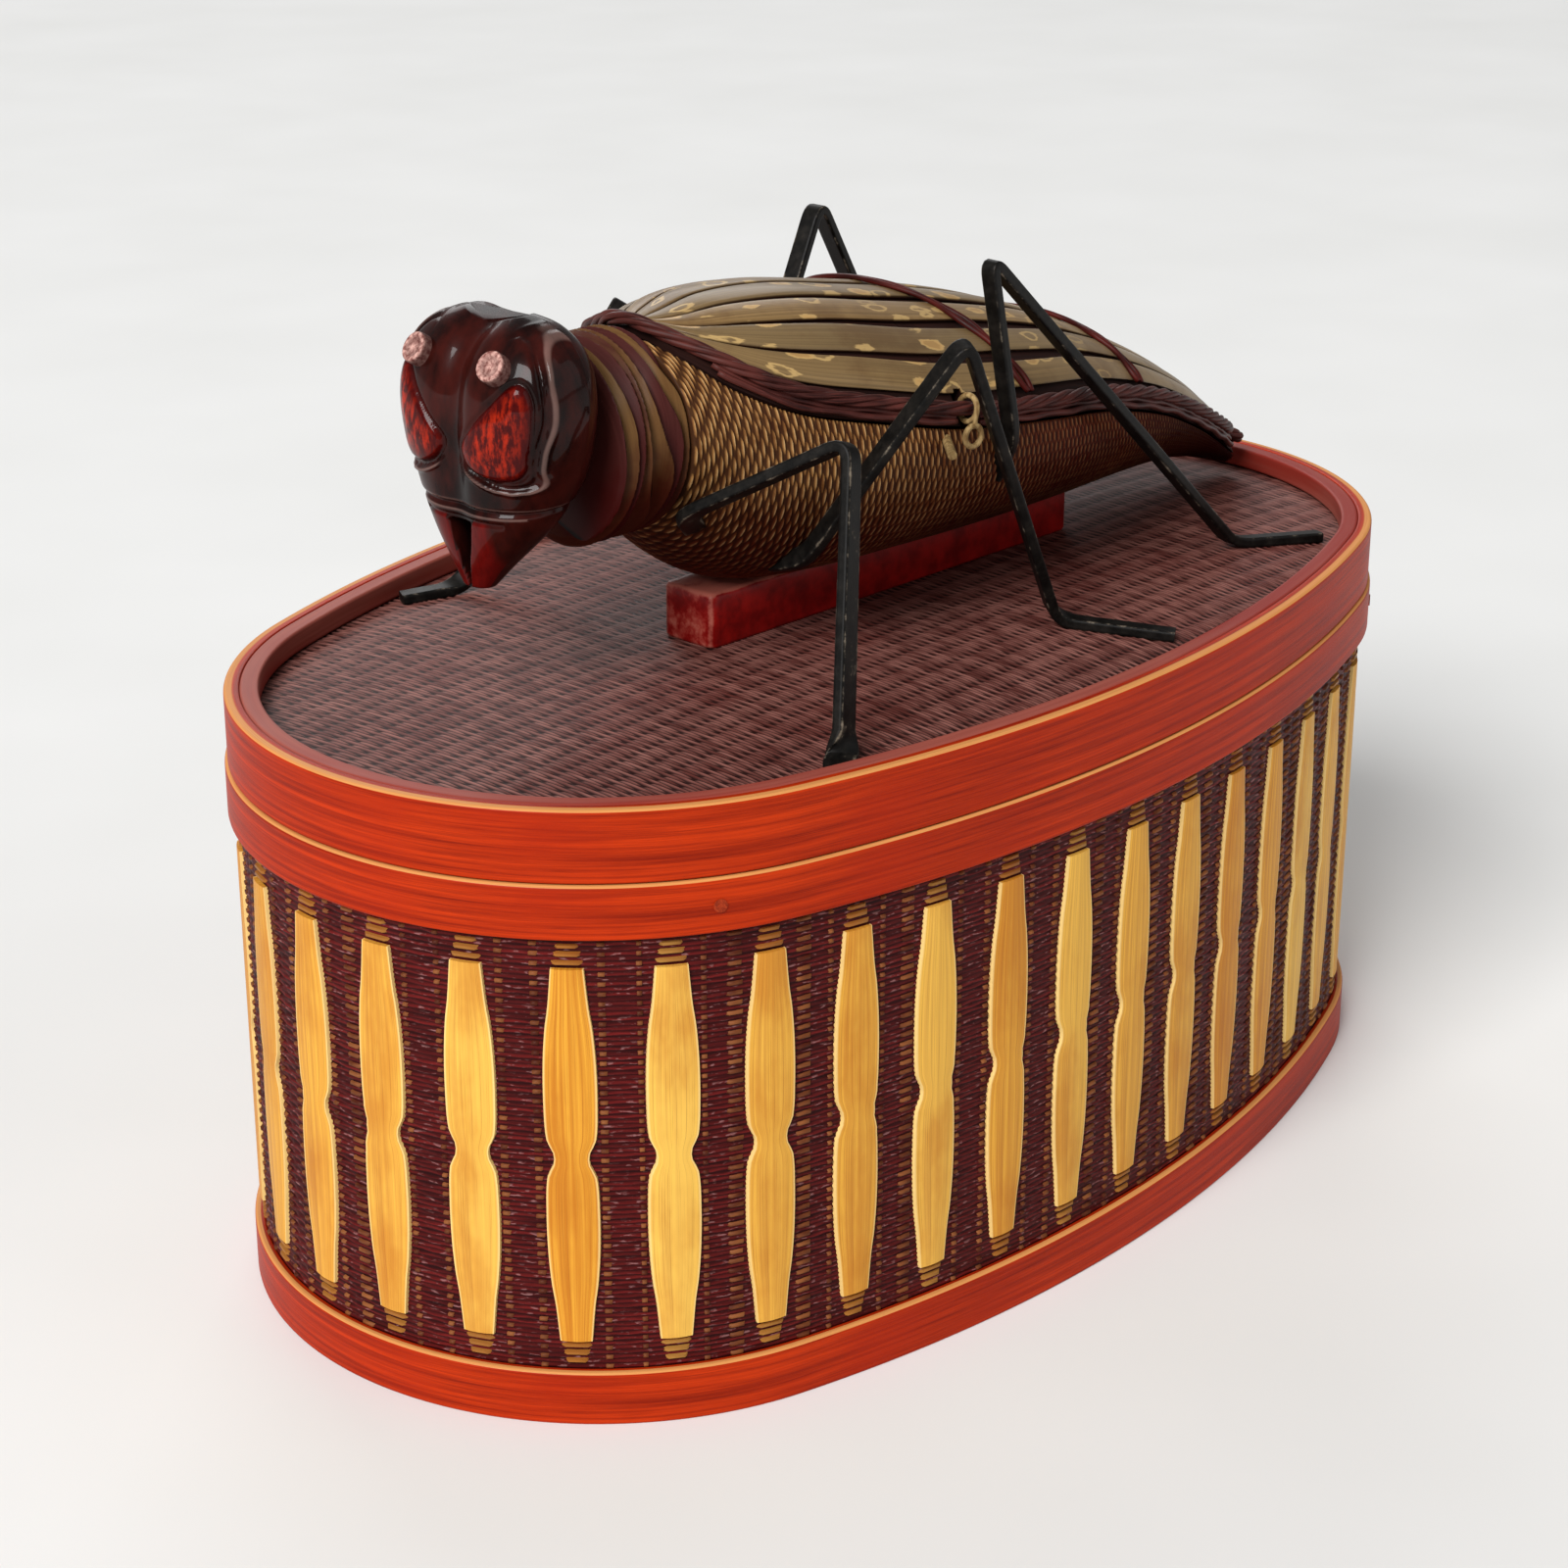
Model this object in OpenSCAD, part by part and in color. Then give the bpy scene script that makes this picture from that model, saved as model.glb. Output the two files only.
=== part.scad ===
// Oval woven bamboo cricket box with a lift-off lid. A bamboo cricket stands on the lid,
// and the wing cover on its back opens on two cane ties.
// Millimetres. Origin at the centre of the underside, +Z up, +X towards the cricket's tail.

/* [Box] */
// Length over the rim hoop
box_l = 252; // [230:1:290]
// Width over the rim hoop
box_w = 147; // [138:1:165]
// Radius of the round ends of the rim hoop
end_r = 63.5; // [58:0.5:67]
// Height of the basket from the table to the seam
seam_h = 94.7; // [75:0.1:130]
// Height of the rim hoop
rim_hoop_h = 9; // [6:0.5:13]
// Height of the base hoop
base_hoop_h = 9.5; // [6:0.5:14]
// Thickness of the two outer hoops
hoop_t = 1.8; // [1.4:0.1:3]
// Thickness of the woven wall
weave_t = 1.8; // [1.2:0.1:3]
// Thickness of the two inner hoops
inner_hoop_t = 2.2; // [1.6:0.1:3]
// Height of the inner rim hoop
rim_inner_h = 14; // [10:0.5:20]
// Height of the inner base hoop, which carries the bottom
base_inner_h = 6; // [4:0.5:9]
// Thickness of the woven bottom
bottom_t = 2.4; // [1.5:0.1:4]
// Radius of the bamboo pegs through the rim
rim_peg_r = 1.1; // [0.8:0.1:1.6]

/* [Wall pattern] */
// Number of splints round the wall
splint_n = 40; // [30:1:44]
// Greatest width of a splint
splint_w = 8.6; // [6:0.1:9.6]
// Width at the notched waist
waist_w = 5.6; // [4:0.1:6]
// Width at the square ends
splint_end_w = 5.2; // [4:0.1:6]
// Width of the tongue that runs on under the weft
tongue_w = 3; // [2:0.1:3.8]
// Length of that tongue beyond each end
splint_tongue = 5; // [3:0.5:7]
// Thickness of a splint
splint_t = 0.8; // [0.5:0.1:1.2]
// Width of the narrow stakes beside the splints
stake_w = 1.6; // [1:0.1:2]
// Thickness of a stake
stake_t = 0.5; // [0.3:0.1:0.8]
// Gap between a splint and its stakes
stake_gap = 0.8; // [0.3:0.1:1]
// Gap left between the wall pattern and the hoops
pattern_gap = 0.3; // [0.1:0.1:1]

/* [Lid] */
// Step in from the rim hoop to the lid hoop
lid_step = 0.5; // [0:0.1:1.5]
// Height of the lid hoop
lid_h = 12; // [10:0.1:16]
// Thickness of the lid hoop
lid_hoop_t = 2.6; // [2:0.1:3.2]
// Width of the flat ring on top
cap_w = 3.2; // [2.5:0.1:6]
// Depth of the woven panel below the flat ring
panel_drop = 4.6; // [2:0.1:6]
// Thickness of the woven panel
panel_t = 2; // [1.5:0.1:3]
// Rise of the panel from its edge to its flat middle
panel_crown = 3.2; // [1:0.1:5]
// Depth of the tongue that drops inside the basket
lid_tongue_h = 8; // [5:0.5:12]
// Thickness of that tongue
lid_tongue_t = 2.4; // [1.8:0.1:3.5]
// Running gap between lid and basket
fit_gap = 0.3; // [0.2:0.05:0.6]
// Gap between pieces that only rest on each other
seat_gap = 0.2; // [0.1:0.05:0.4]

/* [Pedestal] */
// Length of the block
block_l = 96; // [80:1:100]
// Width of the block
block_w = 12; // [8:0.5:20]
// Height of the block
block_h = 10; // [6:0.5:14]
// Radius of the block's upright edges
block_r = 1.5; // [0.5:0.1:3]
// Place of the block along the cricket
block_x = 7; // [0:1:12]
// Radius of the two pegs that hold the block
peg_r = 1.6; // [1.2:0.1:2.5]

/* [Cricket place] */
// Shift along the lid
cricket_x = 0; // [-4:0.5:4]
// Shift across the lid
cricket_y = -2; // [-6:0.5:6]
// Small turn of the cricket on the lid
cricket_turn = -3.5; // [-5:0.5:5]

/* [Cricket body] */
// Length from neck to tail tip
body_l = 169; // [160:1:176]
// Place of the neck ring behind the middle of the lid
neck_x = -56; // [-60:1:-52]
// Greatest width of the body
body_w = 68; // [60:1:76]
// Height of the back above the lid
back_h = 60.8; // [54:0.2:68]
// Wall of the woven body
body_t = 2; // [1.5:0.1:3]
// Wall of the wing cover
wing_t = 1.6; // [1.2:0.1:2.4]
// Gap between the body and the wing cover
wing_gap = 0.5; // [0.3:0.1:1]

/* [Wing cover] */
// Number of bamboo strips on the wings
strip_n = 8; // [6:1:10]
// Thickness of a strip
strip_t = 0.7; // [0.5:0.1:1]
// Share of each strip's width left open beside it
strip_slit = 0.1; // [0.05:0.01:0.2]
// Radius of the cane round the wing's edge
cane_r = 1.3; // [1:0.1:1.8]
// Height of the cane above the seam
cane_lift = 1.9; // [1.6:0.1:2.6]
// Gap between pieces laid on each other on the wing
lay_gap = 0.3; // [0.2:0.05:0.5]
// Width of the lashings across the wings
lashing_w = 2; // [1.5:0.1:3]
// Thickness of a lashing
lashing_t = 0.5; // [0.4:0.1:1]
// Cord radius of the hinge ties
tie_r = 0.7; // [0.5:0.1:1]
// Free space round the cane in a hinge tie
tie_room = 2; // [1.6:0.1:2.4]
// Cord radius of the catch loop
loop_r = 0.5; // [0.4:0.1:0.7]
// Free space round the cane in the catch loop
loop_room = 0.4; // [0.3:0.1:0.6]
// Length of the catch loop's stem
loop_l = 2.5; // [1.5:0.5:5]
// Radius of the ring at its end
ring_r = 1.8; // [1.5:0.1:2.4]
// Radius of the catch peg
catch_peg_r = 0.8; // [0.6:0.1:1.1]
// Length of the catch peg outside the body
catch_peg_l = 5; // [3:0.5:7]

/* [Head and neck] */
// Length of the wrapped neck
neck_l = 15.5; // [12:0.5:22]
// Radius of the wrapped neck
neck_r = 17.2; // [15:0.1:18]
// Number of overlapping turns on the neck
neck_turns = 6; // [4:1:8]
// Step between the turns
neck_step = 0.9; // [0.4:0.1:1.4]
// Radius of the head's tenon inside the neck
tenon_r = 12; // [8:0.5:13]
// Length of the head from the neck to the face
head_l = 21.5; // [18:0.5:28]
// Width of the head
head_w = 36.5; // [32:0.5:42]
// Height of the head from mouth to crown
head_h = 44; // [38:0.5:48]
// Height of the mouth above the lid
mouth_h = 22; // [18:0.5:26]
// Depth of the groove between the two lobes
lobe_groove = 4; // [2:0.5:6]
// Depth of the line carved round the face
face_line = 1; // [0.6:0.1:1.5]
// Radius of the cut feeler stubs
stub_r = 2.6; // [1.8:0.1:3.2]
// Length of a feeler stub outside the head
stub_l = 2.5; // [1.5:0.1:5]

/* [Legs] */
// Width of a leg strip
leg_w = 3.6; // [2.6:0.1:4.4]
// Thickness of a leg strip
leg_t = 1.9; // [1.4:0.1:2.6]
// Depth of a leg's end in the body wall
leg_root = 1.2; // [0.8:0.1:1.4]
// Length of each rounded bend
bend = 4; // [2:0.5:5]

/* [Hidden] */
$fn = 96;

// Insets from the outer face of the rim hoop
in_weave = hoop_t;
in_inner = hoop_t + weave_t;
in_mouth = in_inner + inner_hoop_t;
in_lid = lid_step;
in_lid_inner = lid_step + lid_hoop_t;
in_tongue = in_mouth + fit_gap;
in_tongue_inner = in_tongue + lid_tongue_t;
in_cap = in_lid_inner + cap_w;

// Levels
z_rim = seam_h - rim_hoop_h;
z_lid = seam_h + seat_gap;
z_top = z_lid + lid_h;
z_panel = z_top - panel_drop;
z_ledge = z_panel - panel_t;
z_stand = z_panel + panel_crown;

// The oval: two end circles of radius end_r joined by two side arcs
oc = box_l / 2 - end_r;
ob = box_w / 2 - end_r;
od = (oc * oc - ob * ob) / (2 * ob);
side_r = box_w / 2 + od;
turn_a = atan2(od, oc);

module oval(inset) {
  xt = oc + (end_r - inset) * cos(turn_a);
  translate([-oc, 0]) circle(end_r - inset);
  translate([oc, 0]) circle(end_r - inset);
  intersection() {
    translate([0, -od]) circle(side_r - inset);
    translate([0, od]) circle(side_r - inset);
    square([2 * xt, 2 * box_w], center = true);
  }
}

module hoop(outside, inside, z, h) {
  translate([0, 0, z]) linear_extrude(h) difference() {
    oval(outside);
    oval(inside);
  }
}

// Walking round the oval: quarter lengths, and the outward direction at a length from the +X end
function end_len(inset) = (end_r - inset) * turn_a * PI / 180;
function side_len(inset) = (side_r - inset) * (90 - turn_a) * PI / 180;
function quarter(inset) = end_len(inset) + side_len(inset);
function quarter_angle(t, inset) = t < end_len(inset) ? t / (end_r - inset) * 180 / PI
  : turn_a + (t - end_len(inset)) / (side_r - inset) * 180 / PI;
function out_angle(s, inset) = let(q = quarter(inset), k = floor(s / q), t = s - k * q)
  k % 2 == 0 ? k * 90 + quarter_angle(t, inset) : (k + 1) * 90 - quarter_angle(q - t, inset);
function oval_at(a, inset) = let(e = abs(cos(a)) > cos(turn_a), r = e ? end_r - inset : side_r - inset)
  [r * cos(a) + (e ? sign(cos(a)) * oc : 0), r * sin(a) - (e ? 0 : sign(sin(a)) * od)];

// Distance from the middle to the oval in the direction of [x, y]
function reach(x, y, inset) = let(n = norm([x, y]), u = abs(x) / n, v = abs(y) / n, r = end_r - inset,
  s = oc * u + sqrt(max(0, r * r - oc * oc * v * v)), w = side_r - inset)
  r * r > oc * oc * v * v && s * u > oc + r * cos(turn_a) ? s : -od * v + sqrt(w * w - od * od * u * u);

module on_wall(s, inset) {
  a = out_angle(s, inset);
  p = oval_at(a, inset);
  translate([p[0], p[1], 0]) rotate([0, 0, a]) rotate([90, 0, 90]) children();
}

// Smooth curve through a table of [place, value]
function seg(t, tab) = max([0, for (i = [0 : len(tab) - 2]) if (tab[i][0] <= t) i]);
function slope(i, tab) = let(a = max(i - 1, 0), b = min(i + 1, len(tab) - 1))
  (tab[b][1] - tab[a][1]) / (tab[b][0] - tab[a][0]);
function smooth(t, tab) = let(i = seg(t, tab), d = tab[i + 1][0] - tab[i][0], k = (t - tab[i][0]) / d)
  (1 + 2 * k) * pow(1 - k, 2) * tab[i][1] + k * k * (3 - 2 * k) * tab[i + 1][1]
  + k * pow(1 - k, 2) * d * slope(i, tab) - k * k * (1 - k) * d * slope(i + 1, tab);

// Solid through a row of closed rings of points
module loft(rings, closed = false) {
  n = len(rings);
  m = len(rings[0]);
  pts = [for (r = rings) each r];
  sides = [for (i = [0 : closed ? n - 1 : n - 2], j = [0 : m - 1])
    let(a = i * m + j, b = i * m + (j + 1) % m, c = (i + 1) % n * m + (j + 1) % m, d = (i + 1) % n * m + j)
    each [[a, b, c], [a, c, d]]];
  ends = closed ? [] : [[for (j = [m - 1 : -1 : 0]) j], [for (j = [0 : m - 1]) (n - 1) * m + j]];
  polyhedron(points = pts, faces = concat(sides, ends), convexity = 6);
}

function unit(v) = v / norm(v);
function mix(a, b, k) = a + (b - a) * k;

// Path with each inner corner rounded over a length d on either side
function rounded(p, d) = concat([p[0]], [for (i = [1 : len(p) - 2])
  let(a = p[i] + unit(p[i - 1] - p[i]) * min(d, norm(p[i - 1] - p[i]) * 0.45),
    b = p[i] + unit(p[i + 1] - p[i]) * min(d, norm(p[i + 1] - p[i]) * 0.45))
  for (k = [0, 0.35, 0.65, 1]) mix(mix(a, p[i], k), mix(p[i], b, k), k)], [p[len(p) - 1]]);

// Flat strip along a path, its width along the direction v[i] at each point
module strip(path, v, w, t) {
  n = len(path);
  loft([for (i = [0 : n - 1])
    let(d = unit(path[min(i + 1, n - 1)] - path[max(i - 1, 0)]), a = unit(v[i] - d * (v[i] * d)), b = cross(a, d))
    [for (c = [[1, 1], [-1, 1], [-1, -1], [1, -1]]) path[i] + a * c[0] * w / 2 + b * c[1] * t / 2]]);
}

// Round cord along a path
module cord(path, r, closed = false, sides = 8) {
  n = len(path);
  loft([for (i = [0 : n - 1])
    let(d = unit(closed ? path[(i + 1) % n] - path[(i + n - 1) % n]
        : path[min(i + 1, n - 1)] - path[max(i - 1, 0)]),
      a = unit(cross(d, abs(d[2]) > 0.9 ? [0, 1, 0] : [0, 0, 1])), b = cross(a, d))
    [for (k = [0 : sides - 1]) path[i] + (a * cos(k * 360 / sides) + b * sin(k * 360 / sides)) * r]], closed);
}

// The woven lid panel: flat in the middle, falling to its edge
in_panel = in_lid_inner + seat_gap;
flat_share = 0.45;
function fall(k) = k < flat_share ? 0 : pow((k - flat_share) / (1 - flat_share), 2);
// The flat ring bears on the panel where the panel has begun to rise
k_cap = (box_w / 2 - in_cap) / (box_w / 2 - in_panel);
z_cap = z_panel + panel_crown * (1 - fall(k_cap)) + seat_gap;
function panel_at(x, y) = z_stand - panel_crown * fall(norm([x, y]) / reach(x, y, in_panel));

// Place of the cricket on the lid
module on_lid() {
  translate([cricket_x, cricket_y, z_stand]) rotate([0, 0, cricket_turn]) children();
}
function lid_point(p) = [cricket_x + p[0] * cos(cricket_turn) - p[1] * sin(cricket_turn),
  cricket_y + p[0] * sin(cricket_turn) + p[1] * cos(cricket_turn)];
function lid_level(p) = let(q = lid_point(p)) panel_at(q[0], q[1]) - z_stand;

// The cricket's body: shares of its length, with half width, back, belly and seam
tab_w = [[0, 0.515], [0.05, 0.64], [0.105, 0.765], [0.19, 0.9], [0.29, 0.985], [0.41, 1], [0.535, 0.925],
  [0.665, 0.78], [0.78, 0.59], [0.88, 0.37], [0.95, 0.19], [1, 0.065]];
tab_top = [[0, 0.93], [0.05, 0.955], [0.105, 0.985], [0.19, 0.972], [0.29, 0.915], [0.41, 0.835], [0.535, 0.725],
  [0.665, 0.56], [0.78, 0.375], [0.88, 0.175], [0.95, 0.01], [1, -0.125]];
tab_low = [[0, 0.31], [0.05, 0.14], [0.105, 0.035], [0.19, 0], [0.29, 0], [0.41, 0], [0.535, 0],
  [0.665, 0], [0.78, -0.025], [0.88, -0.085], [0.95, -0.145], [1, -0.2]];
tab_seam = [[0, 0.94], [0.02, 0.87], [0.05, 0.775], [0.105, 0.68], [0.19, 0.61], [0.29, 0.54], [0.41, 0.49],
  [0.535, 0.43], [0.665, 0.315], [0.78, 0.165], [0.88, 0.02], [0.95, -0.085], [1, -0.165]];
belly = block_h + seat_gap;
rise = back_h - belly;
function body_x(u) = neck_x + body_l * u;
function half_w(u) = body_w / 2 * smooth(u, tab_w);
function top_z(u) = belly + rise * smooth(u, tab_top);
function low_z(u) = belly + rise * smooth(u, tab_low);
function seam_z(u) = belly + rise * smooth(u, tab_seam);
function mid_z(u) = (top_z(u) + low_z(u)) / 2;
function half_h(u) = (top_z(u) - low_z(u)) / 2;
// Point of the body's skin at angle a from the left-to-right line, raised by e
function skin(u, a, e) = [body_x(u), -max(half_w(u) + e, half_w(u) * 0.35) * cos(a),
  mid_z(u) + max(half_h(u) + e, half_h(u) * 0.35) * sin(a)];
function level_angle(u, z) = asin(max(-0.98, min(0.98, (z - mid_z(u)) / half_h(u))));
function seam_angle(u, up) = level_angle(u, seam_z(u) + up);

stations = 24;
wing_from = 0.02;
wing_us = [for (i = [0 : stations]) max(wing_from, i / stations)];
body_us = concat([0], wing_us);
// Ring of a wall between two angles at one station
function wall_ring(u, a0, a1, n, e0, e1) = concat(
  [for (j = [0 : n]) skin(u, mix(a0, a1, j / n), e0)],
  [for (j = [n : -1 : 0]) skin(u, mix(a0, a1, j / n), e1)]);

// The cane round the wing's edge lies outside the cover and wholly above the seam
cane_up = cane_lift + cane_r;
cane_out = cane_r + lay_gap;
function cane_at(u, right) = let(a = seam_angle(u, cane_up)) skin(u, right ? 180 - a : a, cane_out);
cane_to = 0.985;
cane_us = concat([for (u = wing_us) if (u > wing_from && u < cane_to) u], [cane_to]);
tail_room = 0.6;
cane_front = let(a = seam_angle(wing_from, cane_up)) [for (k = [0, 0.33, 0.67, 1])
  skin(wing_from, mix(180 - a, a, k), cane_out) - [cane_r, 0, 0]];
cane_path = concat(cane_front, [for (u = cane_us) cane_at(u, false)],
  [skin(1, 0, cane_out) + [cane_r + tail_room, half_w(1) / 2, cane_up]],
  [skin(1, 180, cane_out) + [cane_r + tail_room, -half_w(1) / 2, cane_up]],
  [for (i = [len(cane_us) - 1 : -1 : 0]) cane_at(cane_us[i], true)]);

// Hinge line through the cane at the two ties, and the catch on the other edge
tie_us = [0.3, 0.5];
tie_a = cane_at(tie_us[0], true);
tie_b = cane_at(tie_us[1], true);
catch_u = 0.29;
catch_p = cane_at(catch_u, false);
catch_d = unit(cane_at(catch_u + 0.02, false) - cane_at(catch_u - 0.02, false));

// Turns +Z onto direction d
module along(p, d) {
  translate(p) rotate([0, acos(d[2]), atan2(d[1], d[0])]) children();
}

echo(hinge_from = lid_point(tie_a), hinge_from_z = tie_a[2] + z_stand);
echo(hinge_to = lid_point(tie_b), hinge_to_z = tie_b[2] + z_stand);
echo(catch_at = lid_point(catch_p), catch_z = catch_p[2] + z_stand, catch_dir = catch_d);

module base_hoop() {
  color("orangered") hoop(0, in_weave, 0, base_hoop_h);
}

module base_inner_hoop() {
  color("peru") hoop(in_inner, in_mouth, 0, base_inner_h);
}

module base_panel() {
  color("saddlebrown") translate([0, 0, base_inner_h]) linear_extrude(bottom_t) oval(in_inner);
}

module wall_weave() {
  color("maroon") hoop(in_weave, in_inner, 0, seam_h);
}

// Half of a splint's outline, from its waist up, mirrored both ways
module splint_outline(l) {
  h = l / 2;
  half = [[waist_w / 2, 0], [waist_w / 2 + 0.2, h * 0.04], [splint_w * 0.46, h * 0.1],
    [splint_w / 2, h * 0.28], [splint_w * 0.49, h * 0.5], [splint_w * 0.44, h * 0.68],
    [splint_w * 0.37, h * 0.8], [splint_end_w / 2, h - splint_tongue], [tongue_w / 2, h - splint_tongue],
    [tongue_w / 2, h]];
  n = len(half);
  polygon(concat(half, [for (i = [n - 1 : -1 : 0]) [-half[i][0], half[i][1]]],
    [for (i = [1 : n - 1]) [-half[i][0], -half[i][1]]], [for (i = [n - 1 : -1 : 1]) [half[i][0], -half[i][1]]]));
}

// Splints and stakes lie this far off the weave
lay_off = 0.05;
z_pattern = base_hoop_h + pattern_gap;
l_pattern = z_rim - base_hoop_h - 2 * pattern_gap;
pitch = 4 * quarter(in_weave) / splint_n;

module wall_splints() {
  color("goldenrod") for (i = [0 : splint_n - 1]) on_wall((i + 0.5) * pitch, in_weave)
    translate([0, z_pattern + l_pattern / 2, lay_off]) linear_extrude(splint_t) splint_outline(l_pattern);
}

module wall_stakes() {
  color("sienna") for (i = [0 : splint_n - 1], side = [-1, 1])
    on_wall((i + 0.5) * pitch + side * (splint_w / 2 + stake_gap + stake_w / 2), in_weave)
      translate([-stake_w / 2, z_pattern, lay_off]) cube([stake_w, l_pattern, stake_t]);
}

module rim_hoop() {
  color("orangered") hoop(0, in_weave, z_rim, rim_hoop_h);
}

module rim_inner_hoop() {
  color("peru") hoop(in_inner, in_mouth, seam_h - rim_inner_h, rim_inner_h);
}

// Pegs driven through the outer hoop, the wall and the inner hoop, at shares of a quarter's length
rim_peg_at = [0.4, 1.6, 2.4, 3.6];
peg_back = 0.4;
peg_proud = 0.2;
module rim_pegs() {
  color("sienna") for (k = rim_peg_at) on_wall(k * quarter(0), 0)
    translate([0, z_rim + rim_hoop_h / 2, peg_back - in_mouth])
      cylinder(r = rim_peg_r, h = in_mouth - peg_back + peg_proud);
}

module lid_hoop() {
  color("orangered") hoop(in_lid, in_lid_inner, z_lid, lid_h);
}

module lid_rim_cap() {
  color("indianred") hoop(in_lid_inner, in_cap, z_cap, z_top - z_cap);
}

// Ledge for the panel, with the tongue that drops inside the basket and is one piece with it
tongue_root = 0.5;
module lid_inner_hoop() {
  color("peru") union() {
    hoop(in_lid_inner, in_tongue_inner, z_lid, z_ledge - z_lid);
    hoop(in_tongue, in_tongue_inner, z_lid - lid_tongue_h, lid_tongue_h + tongue_root);
  }
}

panel_rings = [1, 0.9, 0.78, 0.62, flat_share];
panel_sides = 64;
function panel_ring(k, up) = [for (j = [0 : panel_sides - 1])
  let(a = j * 360 / panel_sides, p = oval_at(a, in_panel))
  [p[0] * k, p[1] * k, z_panel + up + panel_crown * (1 - fall(k))]];

module lid_panel() {
  color("brown") loft(concat([for (i = [len(panel_rings) - 1 : -1 : 0]) panel_ring(panel_rings[i], 0)],
    [for (k = panel_rings) panel_ring(k, -panel_t)]));
}

module pedestal() {
  color("darkred") on_lid() translate([block_x, 0, 0]) linear_extrude(block_h) union() {
    square([block_l - 2 * block_r, block_w], center = true);
    square([block_l, block_w - 2 * block_r], center = true);
    for (x = [-1, 1], y = [-1, 1])
      translate([x * (block_l / 2 - block_r), y * (block_w / 2 - block_r)]) circle(block_r);
  }
}

// Pegs driven from below through the panel and the block into the body
peg_tail = 0.5;
module pedestal_pegs() {
  color("tan") on_lid() for (x = [-1, 1])
    translate([block_x + x * block_l / 4, 0, -panel_t - peg_tail])
      cylinder(r = peg_r, h = panel_t + belly + body_t);
}

module body_basket() {
  color("peru") on_lid() loft([for (u = body_us)
    let(a = seam_angle(u, 0)) wall_ring(u, 180 - a, 360 + a, 20, 0, -body_t)]);
}

// Room cut in the wing's edge round the hinge ties and the catch loop
cut_room = 0.5;
module edge_room() {
  for (p = [tie_a, tie_b]) along(p - unit(tie_b - tie_a) * (tie_r + cut_room), unit(tie_b - tie_a))
    cylinder(r = cane_r + tie_room + 2 * tie_r + cut_room, h = 2 * (tie_r + cut_room), $fn = 32);
  along(catch_p - catch_d * (loop_r + cut_room), catch_d)
    cylinder(r = cane_r + loop_room + 2 * loop_r + cut_room, h = 2 * (loop_r + cut_room), $fn = 32);
}

module wing_shell() {
  color("darkolivegreen") on_lid() difference() {
    loft([for (u = wing_us) let(a = seam_angle(u, wing_gap)) wall_ring(u, a, 180 - a, 14, 0, -wing_t)]);
    edge_room();
  }
}

strip_to = 0.96;
strip_us = [for (u = wing_us) if (u < strip_to) u];
strip_up = cane_up + cane_r + lay_gap;
strip_e = lay_gap;

// The slits are widest near the middle and close towards both ends
function slit(u) = strip_slit * (1.4 - 0.8 * pow(2 * u - 1, 2));

module wing_strips() {
  color("darkkhaki") on_lid() difference() {
    for (i = [0 : strip_n - 1]) loft([for (u = strip_us)
      let(a = seam_angle(u, strip_up), s = (180 - 2 * a) / strip_n, g = slit(u) / 2)
      wall_ring(u, a + s * (i + g), a + s * (i + 1 - g), 2, strip_e + strip_t, strip_e)]);
    edge_room();
  }
}

module wing_cane() {
  color("saddlebrown") on_lid() cord(cane_path, cane_r, true, 8);
}

// Lashings that cross the wings over the strips
lashing_us = [[0.36, 0.45], [0.63, 0.66]];
lashing_e = strip_e + strip_t + lay_gap;
module wing_lashings() {
  color("firebrick") on_lid() for (l = lashing_us) loft([for (j = [0 : 20])
    let(k = abs(j / 10 - 1), u = mix(l[0], l[1], k), du = lashing_w / body_l / 2,
      a0 = seam_angle(u, strip_up), a = mix(a0, 180 - a0, j / 20))
    [skin(u + du, a, lashing_e), skin(u + du, a, lashing_e + lashing_t),
     skin(u - du, a, lashing_e + lashing_t), skin(u - du, a, lashing_e)]]);
}

// Cane rings that hold the wing's edge to the body and let it turn
module hinge_ties() {
  color("tan") on_lid() for (p = [tie_a, tie_b]) along(p, unit(tie_b - tie_a))
    rotate_extrude() translate([cane_r + tie_room + tie_r, 0]) circle(tie_r);
}

// Link that hangs outside the cane: an eye round the cane, a stem and a ring for the peg
eye_r = cane_r + loop_room + loop_r;
stem_r = loop_r * 0.8;
module catch_loop() {
  color("wheat") on_lid() along(catch_p, catch_d) union() {
    rotate_extrude() translate([eye_r, 0]) circle(loop_r);
    translate([0, -eye_r, 0]) rotate([0, 90, 0]) cylinder(r = stem_r, h = loop_l);
    translate([loop_l + ring_r, -eye_r, 0]) rotate([90, 0, 0])
      rotate_extrude() translate([ring_r, 0]) circle(loop_r);
  }
}

// Peg in the body's wall beside the ring, pointing out and forward
peg_u = catch_u - 0.022;
peg_depth = body_t * 0.6;
peg_dir = unit([-0.6, -0.75, -0.2]);
module catch_peg() {
  p = skin(peg_u, level_angle(peg_u, catch_p[2] - loop_l - ring_r), -peg_depth);
  color("wheat") on_lid() along(p, peg_dir)
    cylinder(r = catch_peg_r, h = catch_peg_l + body_t, $fn = 24);
}

neck_bore = tenon_r + seat_gap;

// Strips wound over each other: a stepped sleeve between the head and the body
neck_lap = 0.85;
module neck_wrap() {
  p = neck_l - 2 * seat_gap;
  color("saddlebrown") on_lid() translate([neck_x - neck_l + seat_gap, 0, mid_z(0)]) rotate([0, 90, 0])
    rotate_extrude() polygon(concat([[neck_bore, 0]],
      [for (i = [0 : neck_turns - 1])
        each [[neck_r - neck_step, i * p / neck_turns], [neck_r, (i + neck_lap) * p / neck_turns]]],
      [[neck_bore, p]]));
}

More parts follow.
